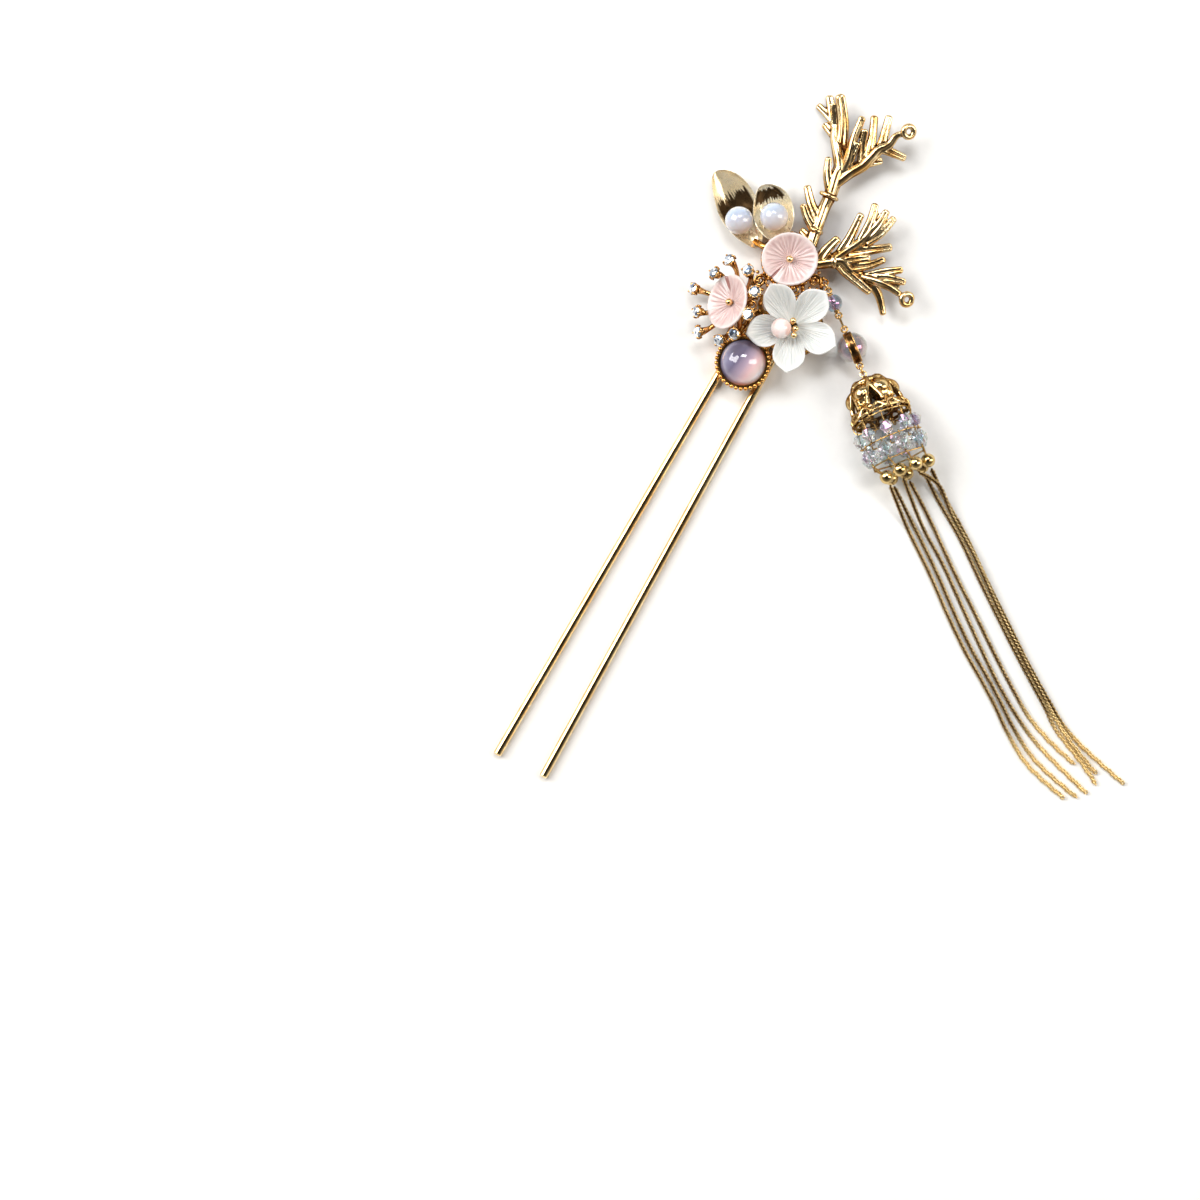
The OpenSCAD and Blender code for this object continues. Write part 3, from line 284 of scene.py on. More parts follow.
def piece(name, parts, material, slot, *nodes, smooth=True, grain=0.0, rounds=0, facing=None,
          hollow=0.0):
    """One mesh of several parts, each its points in millimetres, its faces and the pattern places
    of their corners. With a grain, its parts are run together on voxels of that size and smoothed
    that many rounds. The attribute shade is how far each point faces up, or facing(points,
    normals), less hollow times its depth. It rides on the body, stands for the nodes and takes the
    finish."""
    starts = np.cumsum([0] + [len(points) for points, _, _ in parts])
    corners = [(faces + start).tolist() for (_, faces, _), start in zip(parts, starts)]
    mesh = bpy.data.meshes.new(name)
    mesh.from_pydata(np.concatenate([points for points, _, _ in parts]) * mm, [], sum(corners, []))
    mesh.uv_layers.new(name="pattern").data.foreach_set(
        "uv", np.concatenate([places for _, _, places in parts]).astype(np.float32).ravel())
    mesh.polygons.foreach_set("use_smooth", np.full(len(mesh.polygons), smooth))
    made = bpy.data.objects.new(name, mesh)
    bpy.context.scene.collection.objects.link(made)
    if grain:
        melt = made.modifiers.new("melt", "REMESH")
        melt.mode = "VOXEL"
        melt.voxel_size = grain * mm
        melt.use_smooth_shade = True
        soften = made.modifiers.new("soften", "SMOOTH")
        soften.iterations = rounds
        mesh = bpy.data.meshes.new_from_object(made.evaluated_get(bpy.context.evaluated_depsgraph_get()))
        made.modifiers.clear()
        made.data = mesh
    points, normals = np.empty((2, 3 * len(mesh.vertices)), np.float32)
    mesh.vertices.foreach_get("co", points)
    mesh.vertices.foreach_get("normal", normals)
    points, normals = points.reshape(-1, 3) / mm, normals.reshape(-1, 3)
    shade = facing(points, normals) if facing else normals[:, 2]
    # Painted shade: points in hollows of the surface get less shade, so the finish darkens them.
    if hollow:
        shade = shade - hollow * hollows(mesh, points, normals)
    mesh.attributes.new("shade", "FLOAT", "POINT").data.foreach_set("value", shade.astype(np.float32))
    mesh.materials.clear()
    mesh.materials.append(material)
    mesh.update()
    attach(made, "root")
    if nodes:
        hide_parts(*nodes)
    return made


def even_turns(count):
    """That many even turns round a circle, from 0."""
    return np.arange(count) * 2 * np.pi / count


def circled(radius, turn, height):
    """Points at that distance from the Z axis, that way round it and that high."""
    return np.stack(np.broadcast_arrays(radius * np.cos(turn), radius * np.sin(turn), height), -1)


def bowl(edge, rise, hole, wall, steps, segs):
    """A flower's wall as a closed loop of rings: out along the underside, round the rim and back
    along the top to the hole. Its radius is hole + (edge - hole) * share, its height rise(turn,
    share) and on top the wall more."""
    turn = even_turns(segs)
    out = np.linspace(0, 1, steps)
    rim = np.linspace(-np.pi / 2, np.pi / 2, 7)[1:-1]
    share = np.concatenate([out, np.ones(len(rim)), out[::-1]])[:, None]
    lift = np.concatenate([np.zeros(steps), (1 + np.sin(rim)) / 2, np.ones(steps)])[:, None]
    proud = np.concatenate([np.zeros(steps), np.cos(rim), np.zeros(steps)])[:, None]
    radius = hole + (edge(turn)[None] - wall / 2 - hole) * share + wall / 2 * proud
    points = circled(radius, turn, rise(turn[None], share) + wall * lift)
    faces, places = grid(len(share), segs, closed_rows=True)
    places[:, 1] = np.repeat(share, segs)[faces.ravel()]
    return points.reshape(-1, 3), faces, places


def pattern(tree):
    """A mesh's own pattern places, and their shares across and along."""
    place = step(tree, "UVMap", {}, uv_map="pattern")
    return place, *(step(tree, "SeparateXYZ", {0: place}, axis) for axis in "XY")


def shell(name, pale, deep, streaks, glow, through):
    """Pearl shell: streaks from the middle outwards between two tones, a brighter rim, light that
    passes into it, and a fine bump along the streaks."""
    made, tree = skin(name, {
        "Roughness": 0.28, "IOR": 1.53, "Transmission Weight": through, "Subsurface Weight": 0.35,
        "Subsurface Radius": (1, 0.9, 0.8), "Subsurface Scale": 0.8 * mm, "Coat Weight": 0.3,
        "Coat Roughness": 0.12})
    place, _, out = pattern(tree)
    stretch = step(tree, "Mapping", {"Vector": place, "Scale": (streaks, 1.6, 1)})
    grain = step(tree, "TexNoise", {"Vector": stretch, "Scale": 1, "Detail": 5})
    rim = between(tree, out, 0.86, 1, 0, 0.7)
    colour = blend(tree, rim, ramp(tree, grain, (0.36, deep), (0.62, pale)), (*glow, 1))
    ridges = step(tree, "Bump", {"Height": grain, "Strength": 0.35, "Distance": 0.15 * mm})
    coat(tree, {"Base Color": colour, "Normal": ridges})
    return made


white_d, white_t, white_cup, white_hole = 20.0, 0.6, 3.2, 0.45
white_turn = math.radians(5)
pearl_off = white_d * np.array([-0.09, -0.086, 0])
white_at = centre("pearl") - pearl_off
white_at[2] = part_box("white_flower")[0][2] / mm
petal_step = 2 * np.pi / 5


def petal_share(turn):
    """How far a direction is from its petal's middle line, from 0 there to 1 in the notch."""
    return np.abs((turn - white_turn + petal_step / 2) % petal_step - petal_step / 2) / (petal_step / 2)


def white_edge(turn):
    """Half the flower's width at the tips, falling to about half of that in the notches."""
    q = petal_share(turn)
    return white_d / 2 * (1 - 0.22 * q ** 0.75 - 0.27 * q ** 4)


def white_rise(turn, share):
    """The cup, a ripple over each petal, a crease along its middle and veins that fan outwards."""
    q = petal_share(turn)
    veins = 0.075 * np.cos(16 * np.pi * q) * np.sin(np.pi * share) ** 0.7
    crease = -0.16 * np.exp(-(q / 0.06) ** 2) * np.sin(np.pi * np.minimum(share * 1.1, 1))
    ripple = 0.12 * share * (1 - share) * np.cos(5 * np.pi * q)
    curl = 0.05 * share ** 3 * np.sin(7 * turn + 1)
    return white_cup * (share ** 1.5 * (1 - 0.25 * q) + ripple + curl) + veins + crease


white_shell = shell("white_shell", (0.93, 0.95, 0.93), (0.76, 0.80, 0.79), 90, (0.99, 1.0, 0.99), 0.2)
points, faces, places = bowl(white_edge, white_rise, white_hole, white_t, 30, 480)
piece("white_petals", [(points + white_at, faces, places)], white_shell, "white_shell", "white_flower")

# The pearl and the stamens
# A small pink pearl glued in the flower, beside gold balls on short wires, which are the end of
# the pin through the flower's middle.
pearl_skin, tree = skin("pearl_skin", {
    "Roughness": 0.18, "Coat Weight": 1, "Coat Roughness": 0.05, "Subsurface Weight": 0.3,
    "Subsurface Radius": (1, 0.6, 0.5), "Subsurface Scale": 0.8 * mm})
clouds = local(tree, "TexNoise", {"Scale": 420})
coat(tree, {"Base Color": ramp(tree, clouds, (0.4, (0.86, 0.58, 0.52)), (0.6, (1.0, 0.88, 0.86)))})
dress(pearl_skin, "pearl")
dress(fork_gold, "stamens")


# The pink flowers
# Two round cups of pink shell, finely fluted from the middle, their wall slit where it laps over
# itself. Each is held by a gold pin with a ball; the lower one leans in its ring of stones.
def turned(points, *turns):
    """Points after rotations in the order given, each an axis letter and radians."""
    for axis, turn in turns:
        points = points @ np.array(Matrix.Rotation(turn, 3, axis)).T
    return points


pink_d, pink_t, pink_cup, pink_hole, pink_z = 11.4, 0.55, 1.6, 0.45, 5.0
slit_turn = math.radians(256)
flutes = 26


def pink_edge(turn):
    """A slightly oval rim with a notch at the slit."""
    slit = np.abs((turn - slit_turn + np.pi) % (2 * np.pi) - np.pi)
    notch = 0.05 * np.maximum(0, 1 - slit / 0.2)
    return pink_d / 2 * (1 - 0.03 * np.cos(2 * (turn - 2.1)) - notch + 0.004 * np.cos(flutes * turn))


def pink_rise(turn, share):
    """The cup with a turned-down rim, uneven flutes that fade at the middle and rim, and the step
    of the slit: past it the wall is lifted, before it there is a groove."""
    cup = share ** 1.6 * 1.08 - 0.08 * share ** 8
    depth = 0.10 + 0.04 * np.sin(3 * turn + 0.7) + 0.03 * np.sin(8 * turn)
    fade = np.sin(np.pi * np.clip(share, 0, 0.93) / 0.93) ** 0.6
    past = (turn - slit_turn) % (2 * np.pi)
    lap = 0.42 * np.exp(-past / 0.3) - 0.3 * np.exp((past - 2 * np.pi) / 0.06)
    lap = lap * np.clip(share * 3 - 0.9, 0, 1)
    return pink_cup * cup + depth * fade * np.cos(flutes * turn) + lap


def under(tree):
    """The colour that a material's main shader has so far."""
    return tree.nodes["Principled BSDF"].inputs["Base Color"].links[0].from_socket


def paint(tree, share, tint):
    """Lays a tint over a material's colour, by the share."""
    coat(tree, {"Base Color": blend(tree, share, under(tree), (*tint, 1))})


def slit_shadow_and_highlight(tree, share):
    """Paints the slit's light on a flower's material, at that share of the way round: a pale wedge on the
    outer half as a painted highlight on the lifted lap, and beside it a dark line as the painted shadow of
    its step."""
    _, way_round, out = pattern(tree)
    outer = between(tree, out, 0.35, 0.55)
    # A painted highlight of the lifted lap, then the painted shadow of the slit's step.
    # Middle, half width, tint
    painted_marks = ((share + 0.028, 0.024, (1.0, 0.93, 0.92)), (share, 0.009, (0.45, 0.22, 0.20)))
    for middle, half, tint in painted_marks:
        near = reckon(tree, "COMPARE", way_round, middle, half)
        paint(tree, reckon(tree, "MULTIPLY", near, outer), tint)


pink_shell = shell("pink_shell", (0.84, 0.67, 0.65), (0.68, 0.48, 0.47), 46, (0.94, 0.84, 0.82), 0.15)
slit_shadow_and_highlight(pink_shell.node_tree, slit_turn / (2 * np.pi))
points, faces, places = bowl(pink_edge, pink_rise, pink_hole, pink_t, 22, 432)
pink_at = centre("flower_pin_upper")
pink_at[2] = pink_z
piece("pink_petals_upper", [(points + pink_at, faces, places)], pink_shell, "pink_shell",
      "pink_flower_upper")

burst_d, burst_tilt, burst_turn, burst_z = 17.0, math.radians(41), math.radians(199), 7.5
hub_drop, flower_lean = 3.0, math.radians(6)
flower_z = -pink_cup - pink_t / 2
burst_at = head + np.array([-9.025, 9.120, burst_z])


def on_burst(points):
    """From the frame of the leaning burst, with Z up through its flower, to the hairpin's."""
    return turned(points, ("Y", burst_tilt), ("Z", burst_turn)) + burst_at


def on_flower(points):
    """From the frame of the burst's flower, which leans a little more about the burst's hub."""
    return on_burst(turned(points + [0, 0, hub_drop], ("Y", flower_lean)) - [0, 0, hub_drop])


lower = turned(points, ("Z", math.radians(30))) + [0, 0, flower_z]
piece("pink_petals_lower", [(on_flower(lower), faces, places)], pink_shell, "pink_shell",
      "pink_flower_lower")
dress(fork_gold, "flower_pin_upper", "flower_pin_lower")


# The stone burst
# Ten cast arms like a crown, soldered on a hub under the lower pink flower, each with a cup and
# four claws round a stone. It is plated a warm gold.
def unit(vectors):
    """Vectors scaled to a length of one."""
    return vectors / np.linalg.norm(vectors, axis=-1, keepdims=True)


def lids(faces, count):
    """Faces without a pattern, on the points of the part before them, which has that many."""
    return np.zeros((0, 3)), faces - count, np.zeros((faces.size, 2))


def tube(path, radii, sides=16, up=(0, 0, 1), shape=None):
    """A closed tube: round each point of the path a ring at its radius times shape(turn, share
    along), across the path's tangent, and a fan of triangles over each end."""
    path = np.asarray(path, float)
    along = unit(np.gradient(path, axis=0))
    across = unit(np.cross(np.broadcast_to(up, path.shape), along))
    turn = even_turns(sides)
    reach = np.broadcast_to(np.asarray(radii, float), len(path))[:, None]
    if shape is not None:
        reach = reach * shape(turn[None], np.linspace(0, 1, len(path))[:, None])
    reach = np.broadcast_to(reach, (len(path), sides))
    spokes = (np.cos(turn)[None, :, None] * across[:, None]
              + np.sin(turn)[None, :, None] * np.cross(along, across)[:, None])
    rings = path[:, None] + reach[..., None] * spokes
    points = np.concatenate([rings.reshape(-1, 3), path[:1], path[-1:]])
    k, n = np.arange(sides), len(path) * sides
    after, last = (k + 1) % sides, n - sides
    fans = np.concatenate([np.stack([k, np.full(sides, n), after], -1),
                           np.stack([last + k, last + after, np.full(sides, n + 1)], -1)])
    return [(points, *grid(len(path), sides)), lids(fans, len(points))]


def post(spot, low, high, radius, sides=12):
    """An upright pin at a spot, between two heights."""
    return tube([[*spot[:2], low], [*spot[:2], high]], radius, sides, (1, 0, 0))


def hoop(middle, axis, radius, wire, segs=32, sides=10):
    """A ring of round wire: a circle of that radius square to the axis, with a circle of wire
    round each of its points."""
    axis = unit(np.asarray(axis, float))
    first = unit(np.cross(axis, [0.0, 0, 1] if abs(axis[2]) < 0.9 else [1.0, 0, 0]))
    a, b = even_turns(segs)[:, None, None], even_turns(sides)[None, :, None]
    spoke = np.cos(a) * first + np.sin(a) * np.cross(axis, first)
    points = middle + spoke * (radius + wire * np.cos(b)) - axis * wire * np.sin(b)
    return [(points.reshape(-1, 3), *grid(segs, sides, closed_rows=True))]


def ball(middle, radius, segs=20, rows=12):
    """A round ball: circles between two poles, closed by fans."""
    tilt = np.linspace(0, np.pi, rows + 2)[1:-1]
    path = middle + np.array([0, 0, 1]) * -np.cos(tilt)[:, None] * radius
    parts = tube(path, np.sin(tilt) * radius, segs, (1, 0, 0))
    parts[0][0][-2:] = middle + np.array([[0, 0, -radius], [0, 0, radius]])
    return parts


# Columns: turn round the burst, reach and rise as shares of its width
arms = np.array([
    [-88, 0.50, 0.14], [-54, 0.39, 0.12], [-9, 0.50, 0.13], [28, 0.41, 0.13], [57, 0.52, 0.12],
    [100, 0.50, 0.13], [127, 0.48, 0.12], [166, 0.47, 0.13], [200, 0.51, 0.12], [233, 0.52, 0.14]])
cup_splay, arm_d, hub_low, hub_r = math.radians(20), 1.0, 1.9, 1.0


def on_stone(points, k):
    """From the frame of stone k, with Z up through its table, to the burst's frame."""
    turn, reach, rise = math.radians(arms[k, 0]), arms[k, 1] * burst_d, arms[k, 2] * burst_d
    return turned(turned(points, ("Y", cup_splay)) + [reach, 0, rise], ("Z", turn))


def lathe(profile, segs):
    """A closed ring turned from a profile of radii and heights, which runs anticlockwise."""
    profile = np.asarray(profile, float)
    turn = even_turns(segs)
    points = circled(profile[:, :1], turn, profile[:, 1:])
    return [(points.reshape(-1, 3), *grid(len(profile), segs, closed_rows=True))]


def moved(parts, place):
    """The same parts with their points passed through place."""
    return [(place(points) if len(points) else points, faces, places) for points, faces, places in parts]


# Columns: radius, height
cup_profile = [[0.02, -1.25], [0.6, -1.2], [0.95, -0.95], [1.16, -0.5], [1.3, -0.28], [1.34, -0.14],
               [1.3, -0.04], [1.2, -0.02], [1.1, -0.14], [1.05, -0.6], [0.4, -0.85], [0.02, -0.85]]
burst_parts = []
for k in range(len(arms)):
    arm_turn = math.radians(arms[k, 0])
    cup_end = on_stone(np.array([[0, 0, -1.15]]), k)[0]
    knee = circled(max(pink_d / 2 + arm_d, 0.4 * burst_d), arm_turn, -1.2)
    root = circled(1.2, arm_turn, -hub_drop)
    t = np.linspace(0, 1, 22)[:, None]
    bend = ((1 - t) ** 3 * root + 3 * (1 - t) ** 2 * t * (root + 0.75 * (knee - root))
            + 3 * (1 - t) * t ** 2 * (knee + 0.25 * (knee - root) * 0.3) + t ** 3 * cup_end)
    thick = 0.38 + 0.2 * t[:, 0] + 0.28 * np.clip(t[:, 0] - 0.75, 0, 1) / 0.25
    burst_parts += moved(tube(bend, thick * arm_d, 12, (0, 0, 1)), on_burst)
    holder = lathe(cup_profile, 24)
    for claw in np.radians([45, 135, 225, 315]):
        claw_path = circled(np.array([1.2, 1.34, 1.3, 1.18]), claw, [-0.9, -0.3, 0.06, 0.24])
        holder += tube(claw_path, [0.2, 0.22, 0.22, 0.16], 8, (0.3, 0.2, 1))
        holder += ball(circled(1.18, claw, 0.28), 0.2, 10, 6)
    burst_parts += moved(holder, lambda q, k=k: on_burst(on_stone(q, k)))
hub_profile = [[0.02, -0.45], [2.0, -0.45], [2.2, -0.3], [2.2, 0.3], [2.0, 0.45], [0.5, 0.45], [0.02, 0.4]]
burst_parts += moved(lathe(hub_profile, 32), lambda q: on_burst(q - [0, 0, hub_drop]))
hub = on_burst(np.array([[0, 0, -hub_drop]]))[0]
burst_parts += post(hub, hub_low, hub[2], hub_r, 20)
burst_gold = plated("burst_gold", (0.98, 0.62, 0.26), (0.78, 0.40, 0.12), 0.17, 500, 0.1, 0.4, 0.75)
piece("burst_crown", burst_parts, burst_gold, "gold", "stone_burst")

# The rhinestones
# Ten small round glass stones with foiled backs: a table, eight crown and eight corner facets. Their
# flashes of white and dark blue are painted reflections, in patches over the stones.
foil_glass, tree = skin("foil_glass", {
    "Metallic": 0.85, "Roughness": 0.04, "Coat Weight": 1, "Coat Roughness": 0.01})
# Painted reflections: cells of dark blue and white stand for the facets' flashes.
painted_flashes = local(tree, "TexVoronoi", {"Scale": 1300}, "Color")
coat(tree, {"Base Color": ramp(tree, painted_flashes, (0.3, (0.12, 0.17, 0.26)), (0.5, (0.92, 0.96, 1.0)))})


def facets(rings, sides, bored=False):
    """A cut stone: rings of radius, height and turn in half steps, each joined to the next by
    triangles, with a flat face over each end. A bored one has its last ring joined to its first
    instead."""
    rings = np.asarray(rings, float)
    turn = (np.arange(sides)[None] + rings[:, 2:] / 2) * 2 * np.pi / sides
    points = circled(rings[:, :1], turn, rings[:, 1:2]).reshape(-1, 3)
    k = np.arange(sides)
    after = (k + 1) % sides
    faces = []
    for i in range(len(rings) - (not bored)):
        following = (i + 1) % len(rings)
        a, b = i * sides, following * sides
        if rings[following, 2] >= rings[i, 2]:
            faces += [np.stack([a + k, a + after, b + k], -1), np.stack([a + after, b + after, b + k], -1)]
        else:
            faces += [np.stack([a + k, b + after, b + k], -1), np.stack([a + k, a + after, b + after], -1)]
    faces = np.concatenate(faces)
    stone = [(points, faces, np.zeros((faces.size, 2)))]
    return stone if bored else stone + [lids(np.stack([k[::-1], len(points) - sides + k]), len(points))]


# Columns: radius, height, turn in half steps
stone_rings = [[0.12, -0.62, 0], [1.27, 0.04, 0], [1.06, 0.26, 1], [0.7, 0.46, 0]]
for k in range(len(arms)):
    stone = moved(facets(stone_rings, 8), lambda q, k=k: on_burst(on_stone(q, k)))
    name = "rhinestone_%02d" % (k + 1)
    piece("cut_" + name, stone, foil_glass, "clear_stone", name, smooth=False)

# The scrolls
# Spirals of round brass wire, each in a ring of granules, soldered on the filigree plate to fill
# the gaps between the flowers.
scroll_z, scroll_r, scroll_wire, grain_r, spiral_end_r = 3.1, 1.35, 0.24, 0.4, 0.5
# Places from the middle of the head
scroll_spots = np.array([[4.0, 22.3], [1.3, 18.5], [-5.7, 16.4], [-4.4, 11.1], [-4.4, 7.5], [0.5, 10.7]])
spiral_count = 48
spiral = circled(np.linspace(scroll_r, 0.4, spiral_count), np.linspace(0, 3.2 * np.pi, spiral_count),
                 np.linspace(scroll_z, scroll_z + 0.5, spiral_count))
scroll_parts = []
for k, spot in enumerate(scroll_spots + head[:2]):
    path = spiral * [1, (-1) ** k, 1] + [*spot, 0]
    scroll_parts += tube(path, scroll_wire, 10, (0, 0, 1))
    scroll_parts += ball(path[-1], spiral_end_r, 16, 8)
    for turn in even_turns(8):
        spoke = circled(scroll_r + scroll_wire + 0.3, turn, scroll_z)
        scroll_parts += ball(spoke + [*spot, 0], grain_r, 12, 6)
scroll_gold = plated("scroll_gold", (0.98, 0.60, 0.22), (0.75, 0.38, 0.10), 0.16, 500, 0.1, 0.3, 0.8)
piece("scrolls", scroll_parts, scroll_gold, "gold")

# The leaf spray
# Two cupped leaves stamped from sheet brass, polished, with a rounded rim, on two short stems
# soldered at the back of the upper flower. Their roots are granulated.
leaf_half, leaf_cup, leaf_t = 4.8, 2.0, 0.6
# Columns: share of the length, left half width, right half width, height of the keel
leaf_rows = np.array([
    [0.00, 0.16, 0.16, 1.05], [0.10, 0.42, 0.48, 0.98], [0.22, 0.63, 0.74, 0.60],
    [0.34, 0.75, 0.90, 0.22], [0.46, 0.80, 0.98, 0.03], [0.58, 0.77, 1.00, 0.00],
    [0.70, 0.66, 0.96, 0.10], [0.81, 0.52, 0.84, 0.26], [0.90, 0.37, 0.64, 0.42],
    [0.96, 0.24, 0.42, 0.54], [1.00, 0.05, 0.12, 0.62]])


def spline(rows, count):
    """A Catmull-Rom curve through rows of numbers, read at even steps."""
    rows = np.asarray(rows, float)
    n = len(rows) - 1
    s = np.linspace(0, n, count)
    i = np.minimum(s.astype(int), n - 1)
    f = (s - i)[:, None]
    a, b, c, d = rows[np.maximum(i - 1, 0)], rows[i], rows[i + 1], rows[np.minimum(i + 2, n)]
    return 0.5 * (2 * b + (c - a) * f + (2 * a - 5 * b + 4 * c - d) * f ** 2
                  + (3 * b - a - 3 * c + d) * f ** 3)


def sheet_ends(rows, count):
    """Quads over both ends of a sheet, whose rows go across its top and back below with that many
    points."""
    k, n = np.arange(count // 2 - 1), rows * count
    first = np.stack([k, count - 1 - k, count - 2 - k, k + 1], -1)
    last = np.stack([n - count + k, n - count + k + 1, n - 2 - k, n - 1 - k], -1)
    return lids(np.concatenate([first, last]), n)


def leaf(length):
    """A leaf's sheet as a closed section at each station: across its cupped top, round the thick
    rim, back across its underside. The top is the keel's height plus the square of the share
    across; shallow ripples run towards the tip."""
    rows = spline(leaf_rows, 90)
    across = np.linspace(-1, 1, 33)
    rolled = 0.17
    loop = np.concatenate([across, across[::-1]])
    on_top = np.arange(len(loop)) < len(across)
    share = rows[:, :1]
    half = leaf_half * np.where(loop < 0, rows[:, 2:3], rows[:, 1:2])
    steep = np.minimum(1, half / leaf_half * 1.4)
    rim = rolled * np.clip((np.abs(loop) - 0.9) / 0.1, 0, 1) ** 2 * np.minimum(1, half / 1.5)
    ripple = 0.05 * np.sin(9 * loop + 5 * np.sin(7 * share)) * np.sin(np.pi * share) * (1 - loop ** 2)
    height = leaf_cup * (rows[:, 3:4] + loop ** 2 * steep) + ripple + np.where(on_top, rim, -leaf_t)
    points = np.stack(np.broadcast_arrays(length * share, half * loop, height), -1).reshape(-1, 3)
    faces, places = grid(len(rows), len(loop))
    return [(points, faces[:, ::-1], places.reshape(-1, 4, 2)[:, ::-1].reshape(-1, 2)),
            sheet_ends(len(rows), len(loop))]


def with_dark_reflection(material, start, end):
    """A leaf's plating with a painted dark reflection on its face, between two shares of its length, whose
    ends are made ragged by noise. The rim stays bright."""
    tree = material.node_tree
    place, section, length = pattern(tree)
    stretch = step(tree, "Mapping", {"Vector": place, "Scale": (46, 7, 1)})
    ragged = step(tree, "TexNoise", {"Vector": stretch, "Scale": 1})
    ragged = reckon(tree, "MULTIPLY_ADD", ragged, 0.3, length)
    none, full = (0, 0, 0), (1, 1, 1)
    reflection_band = ramp(tree, ragged, (start + 0.15, none), (start + 0.18, full), (end + 0.15, full),
                (end + 0.18, none))
    face = reckon(tree, "PINGPONG", section, 0.246)
    inside = between(tree, face, 0.03, 0.05)
    on_top = reckon(tree, "LESS_THAN", section, 0.49)
    share = reckon(tree, "MULTIPLY", reckon(tree, "MULTIPLY", inside, on_top), reflection_band)
    # Painted reflection: the dark patch on the leaf's face.
    paint(tree, share, (0.06, 0.035, 0.015))
    coat(tree, {"Metallic": 0.65})
    return material


leaf_root = pink_at + pink_d * np.array([-0.43, 0.02, 0])
long_base = leaf_root + pink_d * np.array([-0.18, -0.11, 0])
short_base = leaf_root + pink_d * np.array([0.13, 0.15, 0])
long_base[2], short_base[2] = leaf_t + 0.1, 2.5
long_turn, short_turn, leaf_long, leaf_short = math.radians(150.7), math.radians(138), 18.0, 12.6
# Name, length, direction, foot, shares of the length at which the painted dark reflection starts and ends
blades = (("long_leaf", leaf_long, long_turn, long_base, 0.27, 0.56),
          ("short_leaf", leaf_short, short_turn, short_base, 0.60, 0.82))
for name, length, turn, base, start, end in blades:
    leaf_gold = plated(name + "_gold", (1.0, 0.91, 0.70), (1.0, 0.82, 0.52), 0.27, 200, 0.05, 0, 0.6)
    blade = moved(leaf(length), lambda q: turned(q, ("Z", turn)) + base)
    piece(name, blade, with_dark_reflection(leaf_gold, start, end), "gold", "leaf_spray")
leaf_parts = []
stem_z, root_low, root_r = 4.25, 2.0, 0.3
for base, turn, length in ((long_base, long_turn, leaf_long), (short_base, short_turn, leaf_short)):
    back, foot = np.array([*leaf_root[:2], stem_z]), np.array([*base[:2], 0])
    stem_path = spline([back - 0.3 * (foot - back) * [1, 1, 0],
                        0.5 * (back + foot) * [1, 1, 0] + [0, 0, stem_z],
                        foot + circled(0.08 * length, turn, 0) + [0, 0, base[2] + 0.85 * leaf_cup]], 20)
    leaf_parts += tube(stem_path, np.linspace(0.75, 0.6, 20), 14, (0, 0, 1))
leaf_parts += post(leaf_root, root_low, stem_z + 0.4, root_r)
stem_gold = plated("stem_gold", orange_gold, brown_gold, 0.2, 500, 0.2, 0, 0.8)
piece("leaf_stems", leaf_parts, stem_gold, "gold", "leaf_spray")

# The milky beads
# Two round opal-glass beads glued in the cups of the leaves. Their colour is painted light: blue on the
# side where light falls on them and warm where it passes through.
def opal_glass(name, node, width):
    """Milky glass: a gradient of painted light across the bead, from blue on the side of the light to a
    warm grey, and light that spreads inside it. The shares along it are places in the bead's own width."""
    made, tree = skin(name, {
        "Roughness": 0.07, "Subsurface Weight": 0.5, "Subsurface Radius": (1, 0.85, 0.7),
        "Subsurface Scale": 2 * mm, "Transmission Weight": 0.3, "Coat Weight": 1, "Coat Roughness": 0.03})
    share = across(tree, centre(node) * mm, view_turn + math.radians(105), width * mm)
    # Painted light: blue on the side of the light, warm on the far side.
    coat(tree, {"Base Color": ramp(
        tree, share, (0.0, (0.96, 0.70, 0.50)), (0.2, (0.84, 0.76, 0.74)), (0.5, (0.74, 0.75, 0.84)),
        (0.8, (0.62, 0.73, 0.92)), (1.0, (0.80, 0.86, 0.95)))})
    return made


for node in ("opal_bead_1", "opal_bead_2"):
    dress(opal_glass("glass_of_" + node, node, 5.9), node)

# The coral branches
# Two cast branches with grooved stems, blunt hollow twigs, disc collars and a small ring each, soldered at
# the back of the upper flower. Their plating is pale, with painted shade in the grooves and on walls that
# face away from the front.
upper_size, lower_size, coral_ring_r, coral_wire = 31.5, 22.0, 1.15, 0.62
coral_grain, coral_low, coral_pin_r = 0.125, 2.3, 0.3
